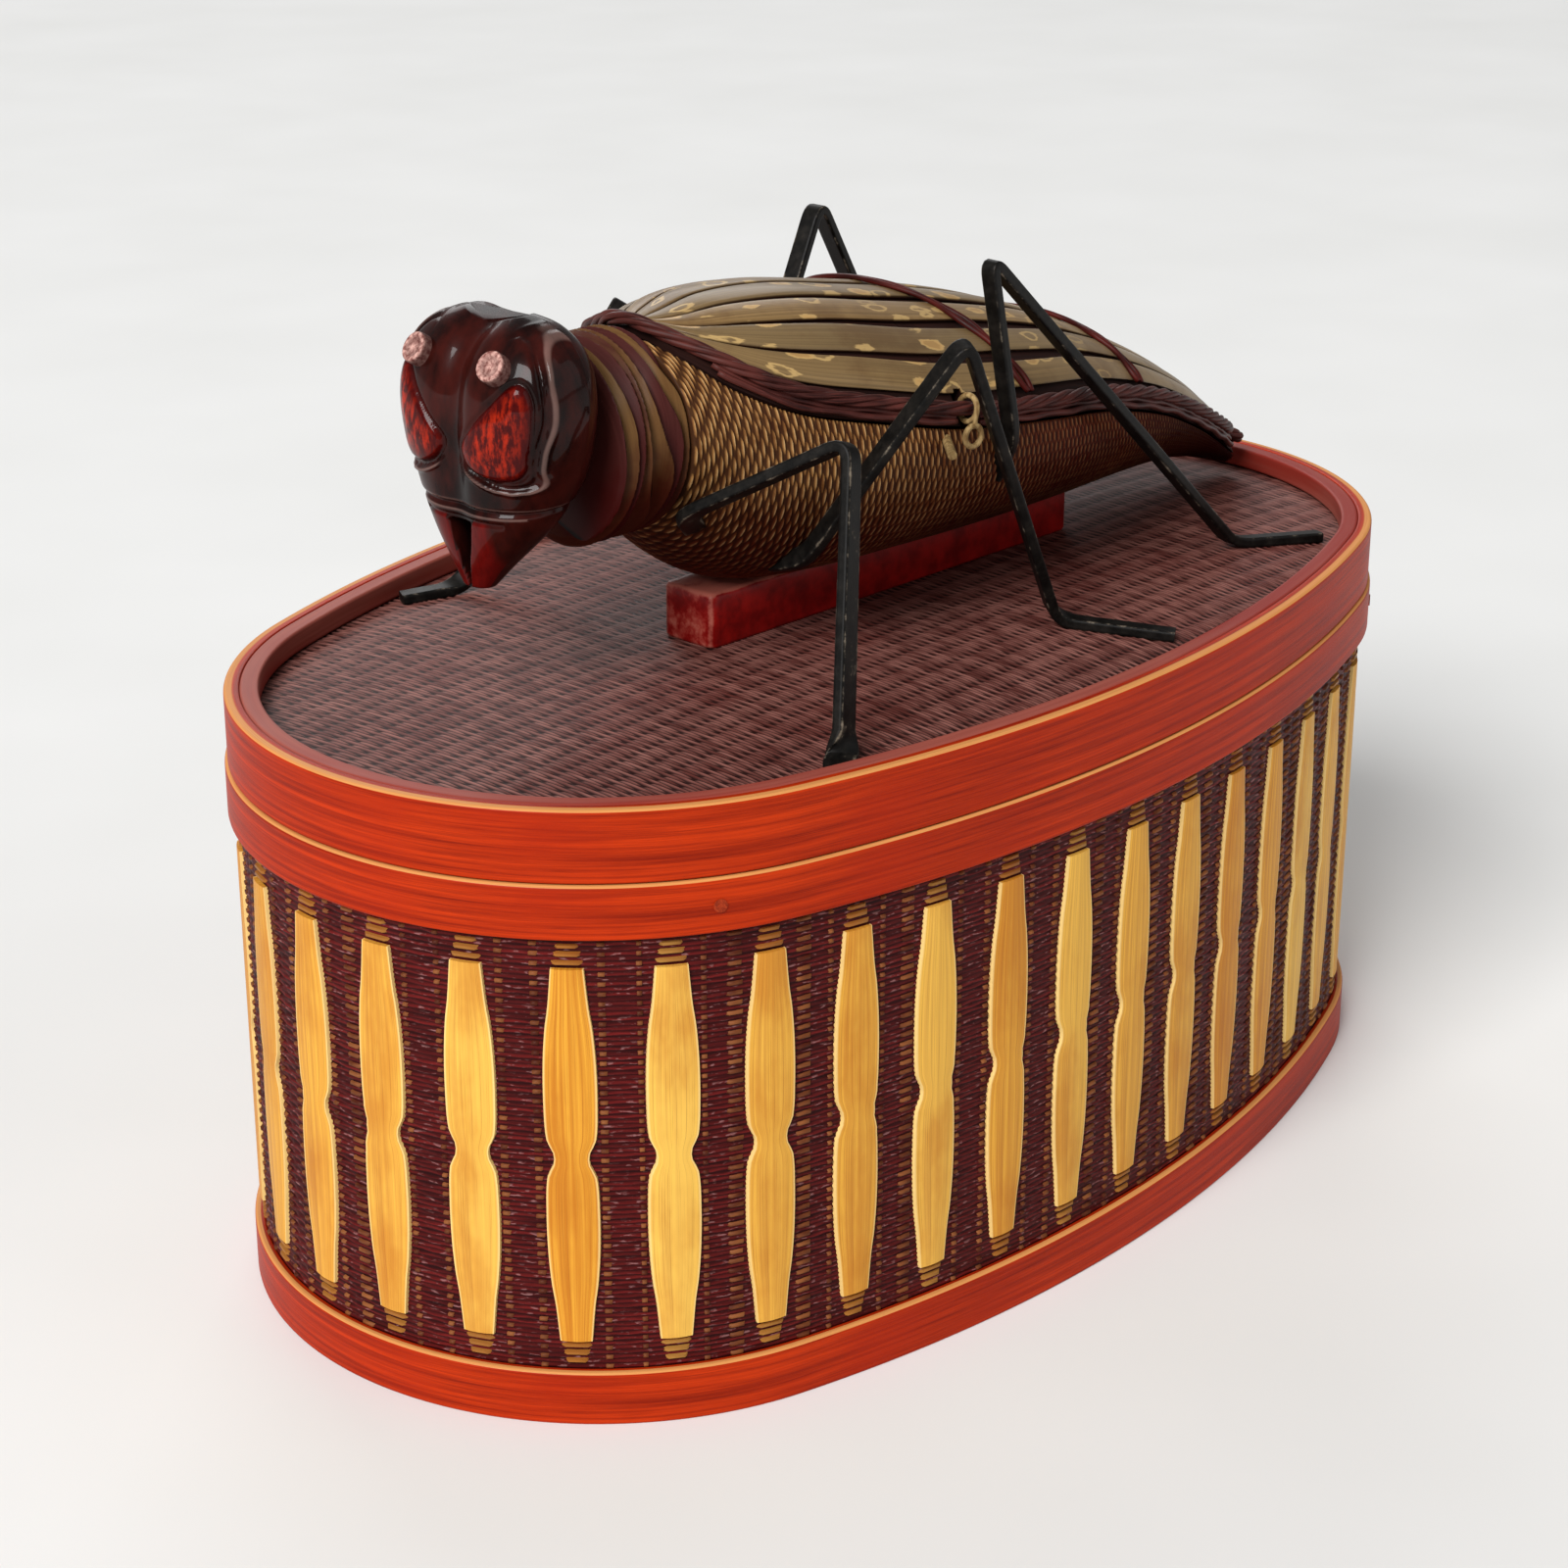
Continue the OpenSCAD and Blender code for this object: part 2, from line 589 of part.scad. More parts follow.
// Carved head: level slices from the mouth to the crown
tab_head_w = [[0, 0.16], [0.08, 0.3], [0.2, 0.55], [0.32, 0.74], [0.45, 0.88], [0.6, 0.98], [0.72, 1],
  [0.85, 0.92], [0.94, 0.7], [1, 0.36]];
tab_head_front = [[0, 0.84], [0.1, 0.9], [0.3, 0.96], [0.5, 1], [0.68, 1], [0.82, 0.94], [0.93, 0.8], [1, 0.62]];
tab_head_back = [[0, 0.64], [0.1, 0.44], [0.25, 0.2], [0.4, 0.04], [0.55, 0], [0.75, 0], [0.88, 0.06],
  [0.95, 0.16], [1, 0.3]];
head_x = neck_x - neck_l;
// Roundness of a slice, half width of the groove between the lobes, and the carved line's place
head_square = 2.4;
groove_w = 4.5;
line_at = 0.31;
line_half = 0.02;
tenon_past = 6;
head_sides = 32;
head_slices = 18;
function head_ring(k) = let(w = head_w / 2 * smooth(k, tab_head_w), f = head_l * smooth(k, tab_head_front),
  b = head_l * smooth(k, tab_head_back), c = (f + b) / 2, d = (f - b) / 2,
  line = abs(k - line_at) < line_half ? face_line : 0)
  [for (j = [0 : head_sides - 1]) let(a = j * 360 / head_sides, n = 2 / head_square,
    sx = sign(cos(a)) * pow(abs(cos(a)), n), sy = sign(sin(a)) * pow(abs(sin(a)), n), y = sy * (w - line),
    dip = exp(-pow(y / groove_w, 2)), front = cos(a) < 0 ? pow(-cos(a), 2) : 0)
    [head_x - c + sx * (d - line) + lobe_groove * dip * front * min(1, k * 2), y,
     mouth_h + head_h * k - lobe_groove * 0.8 * dip * pow(k, 6)]];

module head() {
  color("darkred") on_lid() union() {
    loft([for (i = [head_slices : -1 : 0]) head_ring(i / head_slices)]);
    translate([head_x - head_l / 2, 0, mid_z(0)]) rotate([0, 90, 0])
      cylinder(r = tenon_r, h = head_l / 2 + neck_l + tenon_past);
  }
}

stub_z = mouth_h + head_h * 0.76;
module feeler_stubs() {
  color("rosybrown") on_lid() for (y = [-1, 1])
    along([head_x - head_l * 0.6, y * head_w * 0.22, stub_z], unit([-0.8, y * 0.1, 0.5]))
      cylinder(r = stub_r, h = head_l * 0.3 + stub_l, $fn = 32);
}

// Legs: root place and angle on the body, a bend clear of the wing, then knee, heel and toe
side_w = body_w / 2;
function root(u, a) = skin(u, a, -leg_root);
function on_panel(x, y) = [x, y, lid_level([x, y]) + leg_t / 2 + seat_gap];

// The strip's width lies square to the knee's bend, and turns level at the heel
heel_turn = [0, 0.35, 0.65, 1, 1];
module leg(p, w = leg_w) {
  k = len(p) - 3;
  path = rounded(p, bend);
  m = len(path) - len(heel_turn);
  v = unit(cross(p[k] - p[k - 1], p[k + 1] - p[k]));
  f = unit(cross(p[k + 2] - p[k + 1], [0, 0, 1]));
  level = f * sign(f * v);
  across = [for (i = [0 : len(path) - 1]) mix(v, level, i < m ? 0 : heel_turn[i - m])];
  color("black") on_lid() strip(path, across, w, leg_t);
}

module leg_front_left() {
  leg([root(0.03, -50), [-58, -side_w + 17, 30.5], [-46.5, -side_w - 9, 45.7], on_panel(-60, -side_w - 20),
    on_panel(-63, -side_w - 22)], leg_w + 1);
}

module leg_front_right() {
  leg([root(0.03, 212), [-40, side_w + 1, 31], [-18, side_w + 4, 50.5], on_panel(-47, side_w + 18),
    on_panel(-57, side_w + 23)]);
}

module leg_mid_left() {
  leg([root(0.124, -55), [-36.5, -side_w + 10.5, 19.5], [-36.7, -side_w + 3.5, 28.2], [-25, -side_w - 14, 59],
    on_panel(10.5, -side_w - 5.5), on_panel(22, -side_w - 23)]);
}

module leg_mid_right() {
  leg([root(0.27, 215), [-2, side_w + 7, 24], [16, side_w + 14, 36], on_panel(24, side_w + 24),
    on_panel(34, side_w + 28)]);
}

module leg_hind_left() {
  leg([root(0.345, -14), [-1.5, -side_w - 4.5, 36], [-10.5, -side_w - 6, 68.5], on_panel(69.5, -side_w),
    on_panel(88, -side_w - 7)]);
}

module leg_hind_right() {
  leg([root(0.42, 190), [23, side_w + 6, 36], [35, side_w + 7, 59.3], on_panel(76, side_w + 15),
    on_panel(84, side_w + 16)]);
}

base_panel();
base_hoop();
base_inner_hoop();
wall_weave();
wall_splints();
wall_stakes();
rim_hoop();
rim_inner_hoop();
rim_pegs();
lid_hoop();
lid_rim_cap();
lid_inner_hoop();
lid_panel();
pedestal();
pedestal_pegs();
body_basket();
neck_wrap();
head();
feeler_stubs();
leg_front_left();
leg_front_right();
leg_mid_left();
leg_mid_right();
leg_hind_left();
leg_hind_right();
hinge_ties();
catch_peg();
wing_shell();
wing_strips();
wing_cane();
wing_lashings();
catch_loop();
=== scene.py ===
# %% [markdown]
# # An oval woven box with a bamboo cricket on its lid
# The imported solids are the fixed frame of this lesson. They give every place and size, and the cells below
# lay finished surfaces over them: lacquered hoops, a wall of fine weft, notched splints, a woven lid and the
# cricket. Nothing is fitted by hand afterwards, because both share one origin.

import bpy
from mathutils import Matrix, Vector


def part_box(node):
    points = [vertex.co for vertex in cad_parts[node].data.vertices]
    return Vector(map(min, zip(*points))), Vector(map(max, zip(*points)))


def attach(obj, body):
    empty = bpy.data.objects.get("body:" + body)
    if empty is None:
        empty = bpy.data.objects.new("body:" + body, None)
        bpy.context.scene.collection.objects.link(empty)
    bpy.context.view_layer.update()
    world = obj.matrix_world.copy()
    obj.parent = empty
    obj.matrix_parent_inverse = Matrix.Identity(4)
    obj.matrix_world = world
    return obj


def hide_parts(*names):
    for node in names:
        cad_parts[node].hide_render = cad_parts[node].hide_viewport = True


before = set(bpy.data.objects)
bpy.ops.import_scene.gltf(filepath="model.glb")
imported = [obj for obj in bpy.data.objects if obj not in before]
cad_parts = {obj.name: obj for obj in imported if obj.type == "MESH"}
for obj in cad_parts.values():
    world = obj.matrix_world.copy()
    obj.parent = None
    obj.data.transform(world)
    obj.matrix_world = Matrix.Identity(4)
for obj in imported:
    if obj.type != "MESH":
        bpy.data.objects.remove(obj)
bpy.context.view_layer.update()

import math

import bpy
import numpy as np

MM = 0.001

# %% [markdown]
# ## Sizes read from the frame
# The hoops tell how long, wide and high the box is. An inset is a distance inwards from the rim hoop's outer
# face, so every ring of the box is one oval at its own inset. Only what a box can't tell, such as the radius
# of the round ends, is written down here.

# %% Sizes of the box
def span(node):
    """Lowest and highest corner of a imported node, in millimetres."""
    low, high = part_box(node)
    return np.array(low) / MM, np.array(high) / MM


def levels(node):
    """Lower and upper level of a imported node."""
    return tuple(corner[2] for corner in span(node))


def inset_of(node):
    """How far a node's outer face lies inside the rim hoop's, along X."""
    low, high = span(node)
    return (BOX_L - (high - low)[0]) / 2


rim_low, rim_high = span("rim_hoop")
BOX_L, BOX_W = (rim_high - rim_low)[:2]
Z_RIM, Z_SEAM = levels("rim_hoop")
Z_LID, Z_TOP = levels("lid_hoop")
Z_BASE, Z_STAND, Z_CAP = levels("base_hoop")[1], levels("lid_panel")[1], levels("lid_rim_cap")[0]
IN_WEAVE, IN_INNER = inset_of("wall_weave"), inset_of("rim_inner_hoop")
IN_LID, IN_RING, IN_PANEL = inset_of("lid_hoop"), inset_of("lid_rim_cap"), inset_of("lid_panel")
END_R = 63.5  # radius of the oval's round ends
print("box", BOX_L.round(2), "by", BOX_W.round(2), "seam", Z_SEAM.round(2), "top", Z_TOP.round(2))

# %% [markdown]
# ## Walking round the oval
# The plan is a basket maker's oval: two end circles joined by two wide side arcs. At a given outward
# direction the point lies on one of those circles, so the whole outline is a formula of that direction. To
# space splints evenly, a length walked along the oval is turned into the direction first.

# %% The oval
OC = BOX_L / 2 - END_R  # an end circle's centre, along X
OB = BOX_W / 2 - END_R
OD = (OC ** 2 - OB ** 2) / (2 * OB)  # a side arc's centre, past the middle along Y
SIDE_R = BOX_W / 2 + OD
TURN = math.atan2(OD, OC)  # direction where an end circle meets a side arc


def circle(count):
    """Equal angles, that many, once round."""
    return np.arange(count) * 2 * math.pi / count


def oval(a, inset):
    """Point of the oval with outward direction a: on an end circle near the ends, else on a side arc."""
    c, s = np.cos(a), np.sin(a)
    end = np.abs(c) > math.cos(TURN)
    r = np.where(end, END_R, SIDE_R) - inset
    return r * c + np.where(end, np.sign(c) * OC, 0), r * s - np.where(end, 0, np.sign(s) * OD)


def quarter(inset):
    """Length of the end arc in one quarter, and of the whole quarter."""
    end = (END_R - inset) * TURN
    return end, end + (SIDE_R - inset) * (math.pi / 2 - TURN)


def out_angle(s, inset):
    """Outward direction after walking the length s from the +X end; odd quarters are walked backwards."""
    end, q = quarter(inset)
    k = np.floor(s / q)
    even = k % 2 == 0
    t = np.where(even, s - k * q, q - (s - k * q))
    a = np.where(t < end, t / (END_R - inset), TURN + (t - end) / (SIDE_R - inset))
    return np.where(even, k * math.pi / 2 + a, (k + 1) * math.pi / 2 - a)


def reach(x, y, inset):
    """Distance from the middle to the oval in the direction of (x, y)."""
    n = np.maximum(np.hypot(x, y), 1e-6)
    u, v = np.abs(x) / n, np.abs(y) / n
    r, w = END_R - inset, SIDE_R - inset
    end = OC * u + np.sqrt(np.maximum(0, r * r - (OC * v) ** 2))
    side = -OD * v + np.sqrt(w * w - (OD * u) ** 2)
    return np.where((r > OC * v) & (end * u > OC + r * math.cos(TURN)), end, side)


rim_round = 4 * quarter(0)[1]
print("walk round the rim:", round(rim_round, 1), "mm")

# %% [markdown]
# ## From grids of points to pieces
# Every new piece is made of patches: grids of points, with quads between neighbours. Simple meshes with
# modifiers would do for some pieces, but on a grid the place of every point is known, and so is what it
# belongs to. A patch may wrap round in either direction, and its first and last rows may be shut by a
# polygon. Patches keep a UV map in millimetres and named marks on their points, and the finishes read both.
# The arrays go into the mesh whole.

# %% Patches
def points_at(x, y, z):
    """Three arrays, spread to one shape, as a grid of points."""
    return np.stack(np.broadcast_arrays(x, y, z), -1)


def patch(points, uv=None, wrap_u=False, wrap_v=False, shut=False, turn=False, keep=None, **marks):
    """Quads between neighbours of a grid (nu, nv, 3), or of many equal grids (m, nu, nv, 3)."""
    grids = points[None] if points.ndim == 3 else points
    m, nu, nv = grids.shape[:3]
    i, j = np.meshgrid(np.arange(nu - (not wrap_u)), np.arange(nv - (not wrap_v)), indexing="ij")
    corners = [(i, j), (i, j + 1), (i + 1, j + 1), (i + 1, j)]
    one = np.stack([(r % nu) * nv + c % nv for r, c in corners], -1).reshape(-1, 4)
    u, v = uv if uv else (np.arange(nu + wrap_u), np.arange(nv + wrap_v))
    laid = np.stack([np.stack([u[r], v[c]], -1) for r, c in corners], 2).reshape(-1, 4, 2)
    if turn:
        one, laid = one[:, ::-1], laid[:, ::-1]
    start = np.arange(m)[:, None, None] * nu * nv
    quads = (start + one).reshape(-1, 4)
    laid = np.broadcast_to(laid, (m,) + laid.shape).reshape(-1, 4, 2)
    if keep is not None:
        held = keep.reshape(-1)[quads].any(1)
        quads, laid = quads[held], laid[held]
    ends = (np.arange(nv)[::-1], (nu - 1) * nv + np.arange(nv)) if shut else ()
    rims = [k * nu * nv + row for k in range(m) for row in ends]
    marks = {key: np.broadcast_to(value, (m, nu, nv)).reshape(-1) for key, value in marks.items()}
    return {"points": grids.reshape(-1, 3), "quads": quads, "laid": laid, "rims": rims, "marks": marks}


def tube(points, uv=None, closed=False, **marks):
    """A patch whose rows are rings, closed end to end or shut by polygons, with its faces pointing out.

    Its volume, the sum of the tetrahedra from each quad to the middle, is below 0 where they point in.
    """
    p = patch(points, uv, closed, True, not closed, **marks)
    a, b, c, d = (p["points"][p["quads"][:, k]] - p["points"].mean(0) for k in range(4))
    if (np.cross(b, c) * a).sum() + (np.cross(c, d) * a).sum() < 0:
        p["quads"], p["laid"] = p["quads"][:, ::-1], p["laid"][:, ::-1]
        p["rims"] = [row[::-1] for row in p["rims"]]
    return p


print("3 by 4 points make", len(patch(np.zeros((3, 4, 3)))["quads"]), "quads")

# %% Pieces
def placed(name, data):
    """A new object of the scene that shows the given data."""
    obj = bpy.data.objects.new(name, data)
    bpy.context.scene.collection.objects.link(obj)
    return obj


def mesh_of(name, patches, crease=None):
    """Patches joined into one smooth mesh with their UV map and marks; edges over the crease stay sharp."""
    starts = np.cumsum([0] + [len(p["points"]) for p in patches])
    points = np.concatenate([p["points"] for p in patches])
    quads = np.concatenate([p["quads"] + s for p, s in zip(patches, starts)])
    rims = [row + s for p, s in zip(patches, starts) for row in p["rims"]]
    sizes = np.concatenate([np.full(len(quads), 4), [len(row) for row in rims]]).astype(np.int32)
    used, loops = np.unique(np.concatenate([quads.reshape(-1)] + rims), return_inverse=True)
    mesh = bpy.data.meshes.new(name)
    mesh.vertices.add(len(used))
    mesh.vertices.foreach_set("co", (points[used] * MM).astype(np.float32).ravel())
    mesh.loops.add(len(loops))
    mesh.loops.foreach_set("vertex_index", loops.astype(np.int32).ravel())
    mesh.polygons.add(len(sizes))
    mesh.polygons.foreach_set("loop_start", np.concatenate([[0], np.cumsum(sizes)[:-1]]).astype(np.int32))
    mesh.update(calc_edges=True)
    mesh.polygons.foreach_set("use_smooth", np.ones(len(sizes), bool))
    if crease:
        mesh.set_sharp_from_angle(angle=math.radians(crease))
    laid = np.concatenate([p["laid"].reshape(-1, 2) for p in patches] + [np.zeros((len(r), 2)) for r in rims])
    mesh.uv_layers.new(name="laid").data.foreach_set("uv", laid.astype(np.float32).ravel())
    for key in patches[0]["marks"]:
        values = np.concatenate([p["marks"][key] for p in patches])[used]
        mesh.attributes.new(key, "FLOAT", "POINT").data.foreach_set("value", values.astype(np.float32))
    print(name, "triangles:", int((sizes - 2).sum()))
    return mesh


def piece(name, patches, finish, body, nodes=(), crease=None):
    """One mesh object of the patches that rides a body, and stands for the given CAD nodes."""
    mesh = mesh_of(name, patches, crease)
    mesh.materials.append(finish)
    obj = placed(name, mesh)
    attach(obj, body)
    if nodes:
        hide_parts(*nodes)


print("packed nodes to dress or stand for:", len(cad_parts))

# %% [markdown]
# ## Shader maths in plain expressions
# A finish is a small tree of nodes. Wrapping a socket in a class with operators lets the maths be written as
# it would be on paper, and one method adds every other kind of node. Colours are given as the eye reads them
# on a screen, and turned into linear light here.

# %% Sockets
def operator(operation, flipped=False):
    """A method that adds one Math node; flipped puts the other number first, as in 1 - mask."""
    def method(self, other):
        pair = (other, self) if flipped else (self, other)
        return self.finish.node("ShaderNodeMath", dict(enumerate(pair)), operation=operation)
    return method


class Value:
    """A socket that carries a number or a colour; arithmetic on it adds Math nodes."""

    def __init__(self, finish, socket):
        self.finish, self.socket = finish, socket

    __add__ = __radd__ = operator("ADD")
    __mul__ = __rmul__ = operator("MULTIPLY")
    __sub__, __rsub__ = operator("SUBTRACT"), operator("SUBTRACT", flipped=True)
    __truediv__, __rtruediv__ = operator("DIVIDE"), operator("DIVIDE", flipped=True)

    def above(self, edge, soft=0.1):
        """0 below the edge and 1 above it, with a soft step."""
        inputs = {"Value": self, "From Min": edge - soft, "From Max": edge + soft}
        return self.finish.node("ShaderNodeMapRange", inputs, interpolation_type="SMOOTHSTEP")


def rgb(red, green, blue):
    """A screen colour (0 to 255) as linear light with full alpha."""
    c = np.array([red, green, blue]) / 255
    return tuple(np.where(c < 0.04045, c / 12.92, ((c + 0.055) / 1.055) ** 2.4)) + (1.0,)


print("middle grey of a screen is", round(float(rgb(128, 128, 128)[0]), 3), "in linear light")

# %% Finishes
class Finish:
    """A procedural material: a Principled shader and the nodes that feed it."""

    def __init__(self, name, roughness=0.5, coat=0.0, coat_roughness=0.1, specular=0.12):
        self.material = bpy.data.materials.new(name)
        self.material.use_nodes = True
        self.tree = self.material.node_tree
        self.shader = next(n for n in self.tree.nodes if n.type == "BSDF_PRINCIPLED")
        self.feed(self.shader, {"Roughness": roughness, "Coat Weight": coat, "Coat Roughness": coat_roughness,
                                "Specular IOR Level": specular})

    def feed(self, node, inputs):
        """Gives each socket of a node its number, or a link where the value is a socket."""
        for key, value in inputs.items():
            if isinstance(value, Value):
                self.tree.links.new(value.socket, node.inputs[key])
            else:
                node.inputs[key].default_value = value

    def node(self, kind, inputs=None, out=0, **settings):
        """Adds a node: its settings first, then the values or links of its sockets."""
        made = self.tree.nodes.new(kind)
        for key, value in settings.items():
            setattr(made, key, value)
        self.feed(made, inputs or {})
        return Value(self, made.outputs[out])

    def mix(self, share, one, two):
        """Colour that goes from one to two as share goes from 0 to 1."""
        return self.node("ShaderNodeMix", {0: share, 6: one, 7: two}, out=2, data_type="RGBA")

    def coats(self, colour, *coats):
        """The colour with each (share, colour) laid over all before it."""
        for share, over in coats:
            colour = self.mix(share, colour, over)
        return colour

    def mark(self, name):
        """A number that the piece keeps on its points."""
        return self.node("ShaderNodeAttribute", out="Fac", attribute_name=name)

    def laid(self, along, across, shift=0.0):
        """The piece's own UV map in millimetres, scaled each way."""
        uv = self.node("ShaderNodeUVMap", uv_map="laid")
        inputs = {0: uv, 1: (along, across, 1.0), 2: (shift, shift, 0.0)}
        return self.node("ShaderNodeVectorMath", inputs, operation="MULTIPLY_ADD")

    def place(self, x, y, z):
        """Object coordinates in millimetres, scaled each way."""
        at = self.node("ShaderNodeTexCoord", out="Object")
        return self.node("ShaderNodeVectorMath", {0: at, 1: (x / MM, y / MM, z / MM)}, operation="MULTIPLY")

    def coordinate(self, axis):
        """One object coordinate, X, Y or Z, in millimetres."""
        at = self.node("ShaderNodeTexCoord", out="Object")
        return self.node("ShaderNodeSeparateXYZ", {0: at}, out=axis) / MM

    def noise(self, vector, detail=3.0, rough=0.55):
        """Cloudy noise from 0 to 1, as fine as the vector is scaled."""
        inputs = {"Vector": vector, "Scale": 1.0, "Detail": detail, "Roughness": rough}
        return self.node("ShaderNodeTexNoise", inputs, out="Fac", noise_dimensions="3D")

    def done(self, colour, rough, height, strength, distance):
        """Feeds the colour, the roughness and a bump as high as the distance, and returns the material."""
        inputs = {"Strength": strength, "Distance": distance * MM, "Height": height}
        bump = self.node("ShaderNodeBump", inputs, out="Normal")
        self.feed(self.shader, {"Base Color": colour, "Roughness": rough, "Normal": bump})
        print(self.material.name, "nodes:", len(self.tree.nodes))
        return self.material


# %% [markdown]
# ## Lacquered hoops
# The three outer hoops are bent from wide bamboo strips and brushed with orange-red lacquer. The brush and
# the fibres leave long level streaks, and the upper edge is shaved to a slope that shows bare pale bamboo.
# A bevelled curve could draw such a hoop. Here a profile with rounded corners is carried round the oval,
# because a mark on its slope can then tell the finish where the lacquer stops.

# %% Lacquer finish
def lacquered_bamboo():
    """Long streaks of two reds with dark fibres, and bare bamboo where the cut is marked."""
    f = Finish("lacquered bamboo", coat=0.05, coat_roughness=0.2, specular=0.06)
    streak = f.noise(f.laid(0.014, 0.8), 7.0, 0.75)
    fibre = f.noise(f.laid(0.05, 9.0, 7.0))
    patchy = f.noise(f.laid(0.035, 0.05, 3.0), 2.0)
    bare = f.mix(fibre, rgb(232, 168, 100), rgb(184, 108, 54))
    cut = (f.mark("cut") + 0.25 * (fibre - 0.5)).above(0.5, 0.12)
    colour = f.coats(rgb(118, 20, 3), (streak.above(0.5, 0.22), rgb(200, 56, 9)),
                     (patchy.above(0.58, 0.16) * 0.55, rgb(162, 34, 8)),
                     (fibre.above(0.62, 0.08) * 0.4, rgb(88, 20, 8)), (cut, bare))
    return f.done(colour, 0.34 + 0.2 * streak + 0.12 * cut, fibre + streak, 0.35, 0.12)


LACQUER = lacquered_bamboo()

# %% A profile carried round the oval
def unit(v):
    """Vectors scaled to the length 1."""
    return v / np.maximum(np.linalg.norm(v, axis=-1, keepdims=True), 1e-9)


def bends(a, p, b, arc):
    """Quadratic curves from the points a to the points b, drawn towards the corners p."""
    t = np.linspace(0, 1, arc)[None, :, None]
    return (1 - t) ** 2 * a[:, None] + 2 * t * (1 - t) * p[:, None] + t ** 2 * b[:, None]


def softened(corners, r, arc=4):
    """Closed outline whose corners are quadratic curves that start a distance r before each corner."""
    p = np.array(corners, float)
    before, after = np.roll(p, 1, 0) - p, np.roll(p, -1, 0) - p
    shorter = np.minimum(np.linalg.norm(before, axis=1), np.linalg.norm(after, axis=1))
    near = np.minimum(r, 0.4 * shorter)[:, None]
    curve = bends(p + unit(before) * near, p, p + unit(after) * near, arc)
    lead, trail = p + unit(before) * (near * 1.25), p + unit(after) * (near * 1.25)
    return np.concatenate([lead[:, None], curve, trail[:, None]], 1).reshape(-1, 2)


HOOP_STEPS = 320
BEVEL, BEVEL_IN = 0.42, 0.36  # height and depth of the shaved slope
CUT_SPILL = 0.3  # how far past the slope the bare bamboo may show


def hoop(corners, r, cut_above=None):
    """An outline of (inset, height) points carried round the oval, with its cut slope marked."""
    profile = softened(corners, r)
    inset, z = profile.T
    s = np.arange(HOOP_STEPS + 1) * rim_round / HOOP_STEPS
    x, y = oval(out_angle(s[:-1], 0)[:, None], inset[None])
    steps = np.linalg.norm(np.diff(profile, axis=0, append=profile[:1]), axis=1)
    cut = 0.0 if cut_above is None else (z > cut_above) * (inset < inset.min() + BEVEL_IN + CUT_SPILL)
    return tube(points_at(x, y, z), (s, np.append(0, np.cumsum(steps))), closed=True, cut=cut)


print("a softened square has", len(softened([(0, 0), (1, 0), (1, 1), (0, 1)], 0.1)), "points")

# %% Three lacquered hoops
CUT_RISE = 0.12  # how far up the slope the bare bamboo starts
BAND_R, LINING_R, RING_R = 0.35, 0.4, 0.5  # radii of the hoops' corners
CREASE, WIDE_CREASE, FINE_CREASE = 50, 60, 40  # degrees over which an edge stays sharp


def lacquered_hoop(name, node, inset, thick, body):
    """An outer hoop from its node's levels, with the shaved slope along its upper outer edge."""
    z0, z1 = levels(node)
    inside = inset + thick
    corners = [(inset, z0), (inset, z1 - BEVEL), (inset + BEVEL_IN, z1), (inside, z1), (inside, z0)]
    shape = hoop(corners, BAND_R, z1 - BEVEL + CUT_RISE)
    piece(name, [shape], LACQUER, body, [node], CREASE)


lacquered_hoop("base_band", "base_hoop", 0, IN_WEAVE, "box")
lacquered_hoop("rim_band", "rim_hoop", 0, IN_WEAVE, "box")
lacquered_hoop("lid_band", "lid_hoop", IN_LID, IN_RING - IN_LID, "lid")

# %% [markdown]
# ## Inner hoops and the flat ring
# Inside the wall run plain hoops that clamp the weave, and the lid has one with a tongue that drops into
# the basket. They are bare bamboo. The flat ring on top of the lid is lacquer worn to a dull pink. They
# differ from the outer hoops only in the corners of their sections, so the same function carries those
# round the oval.

# %% Finishes of the inner hoops and the ring
def plain_bamboo():
    """Long streaks of two ochres with darker fibres."""
    f = Finish("bare bamboo")
    streak = f.noise(f.laid(0.02, 1.4), 4.0, 0.6)
    fibre = f.noise(f.laid(0.04, 7.0, 5.0))
    colour = f.coats(rgb(150, 104, 54), (streak.above(0.5, 0.25), rgb(196, 148, 84)),
                     (fibre.above(0.6, 0.1) * 0.4, rgb(112, 70, 34)))
    return f.done(colour, 0.45 + 0.2 * streak, fibre, 0.3, 0.1)


def worn_lacquer():
    """Streaks of dull pink, with the red left in patches."""
    f = Finish("worn lacquer")
    streak = f.noise(f.laid(0.03, 1.2), 4.0, 0.6)
    rub = f.noise(f.laid(0.012, 0.1, 11.0))
    colour = f.coats(rgb(128, 56, 46), (streak, rgb(176, 98, 84)), (rub.above(0.52, 0.14), rgb(138, 40, 30)))
    return f.done(colour, 0.42 + 0.2 * streak, streak, 0.25, 0.1)


BARE, WORN = plain_bamboo(), worn_lacquer()

# %% Inner hoops and the ring
INNER_T = 2.2  # thickness of an inner hoop
RING_W = 3.2
TONGUE_T, TONGUE_ROOM = 2.4, 0.3


def section(outside, inside, low, high):
    """Corners of a plain rectangular hoop section."""
    return [(outside, low), (outside, high), (inside, high), (inside, low)]


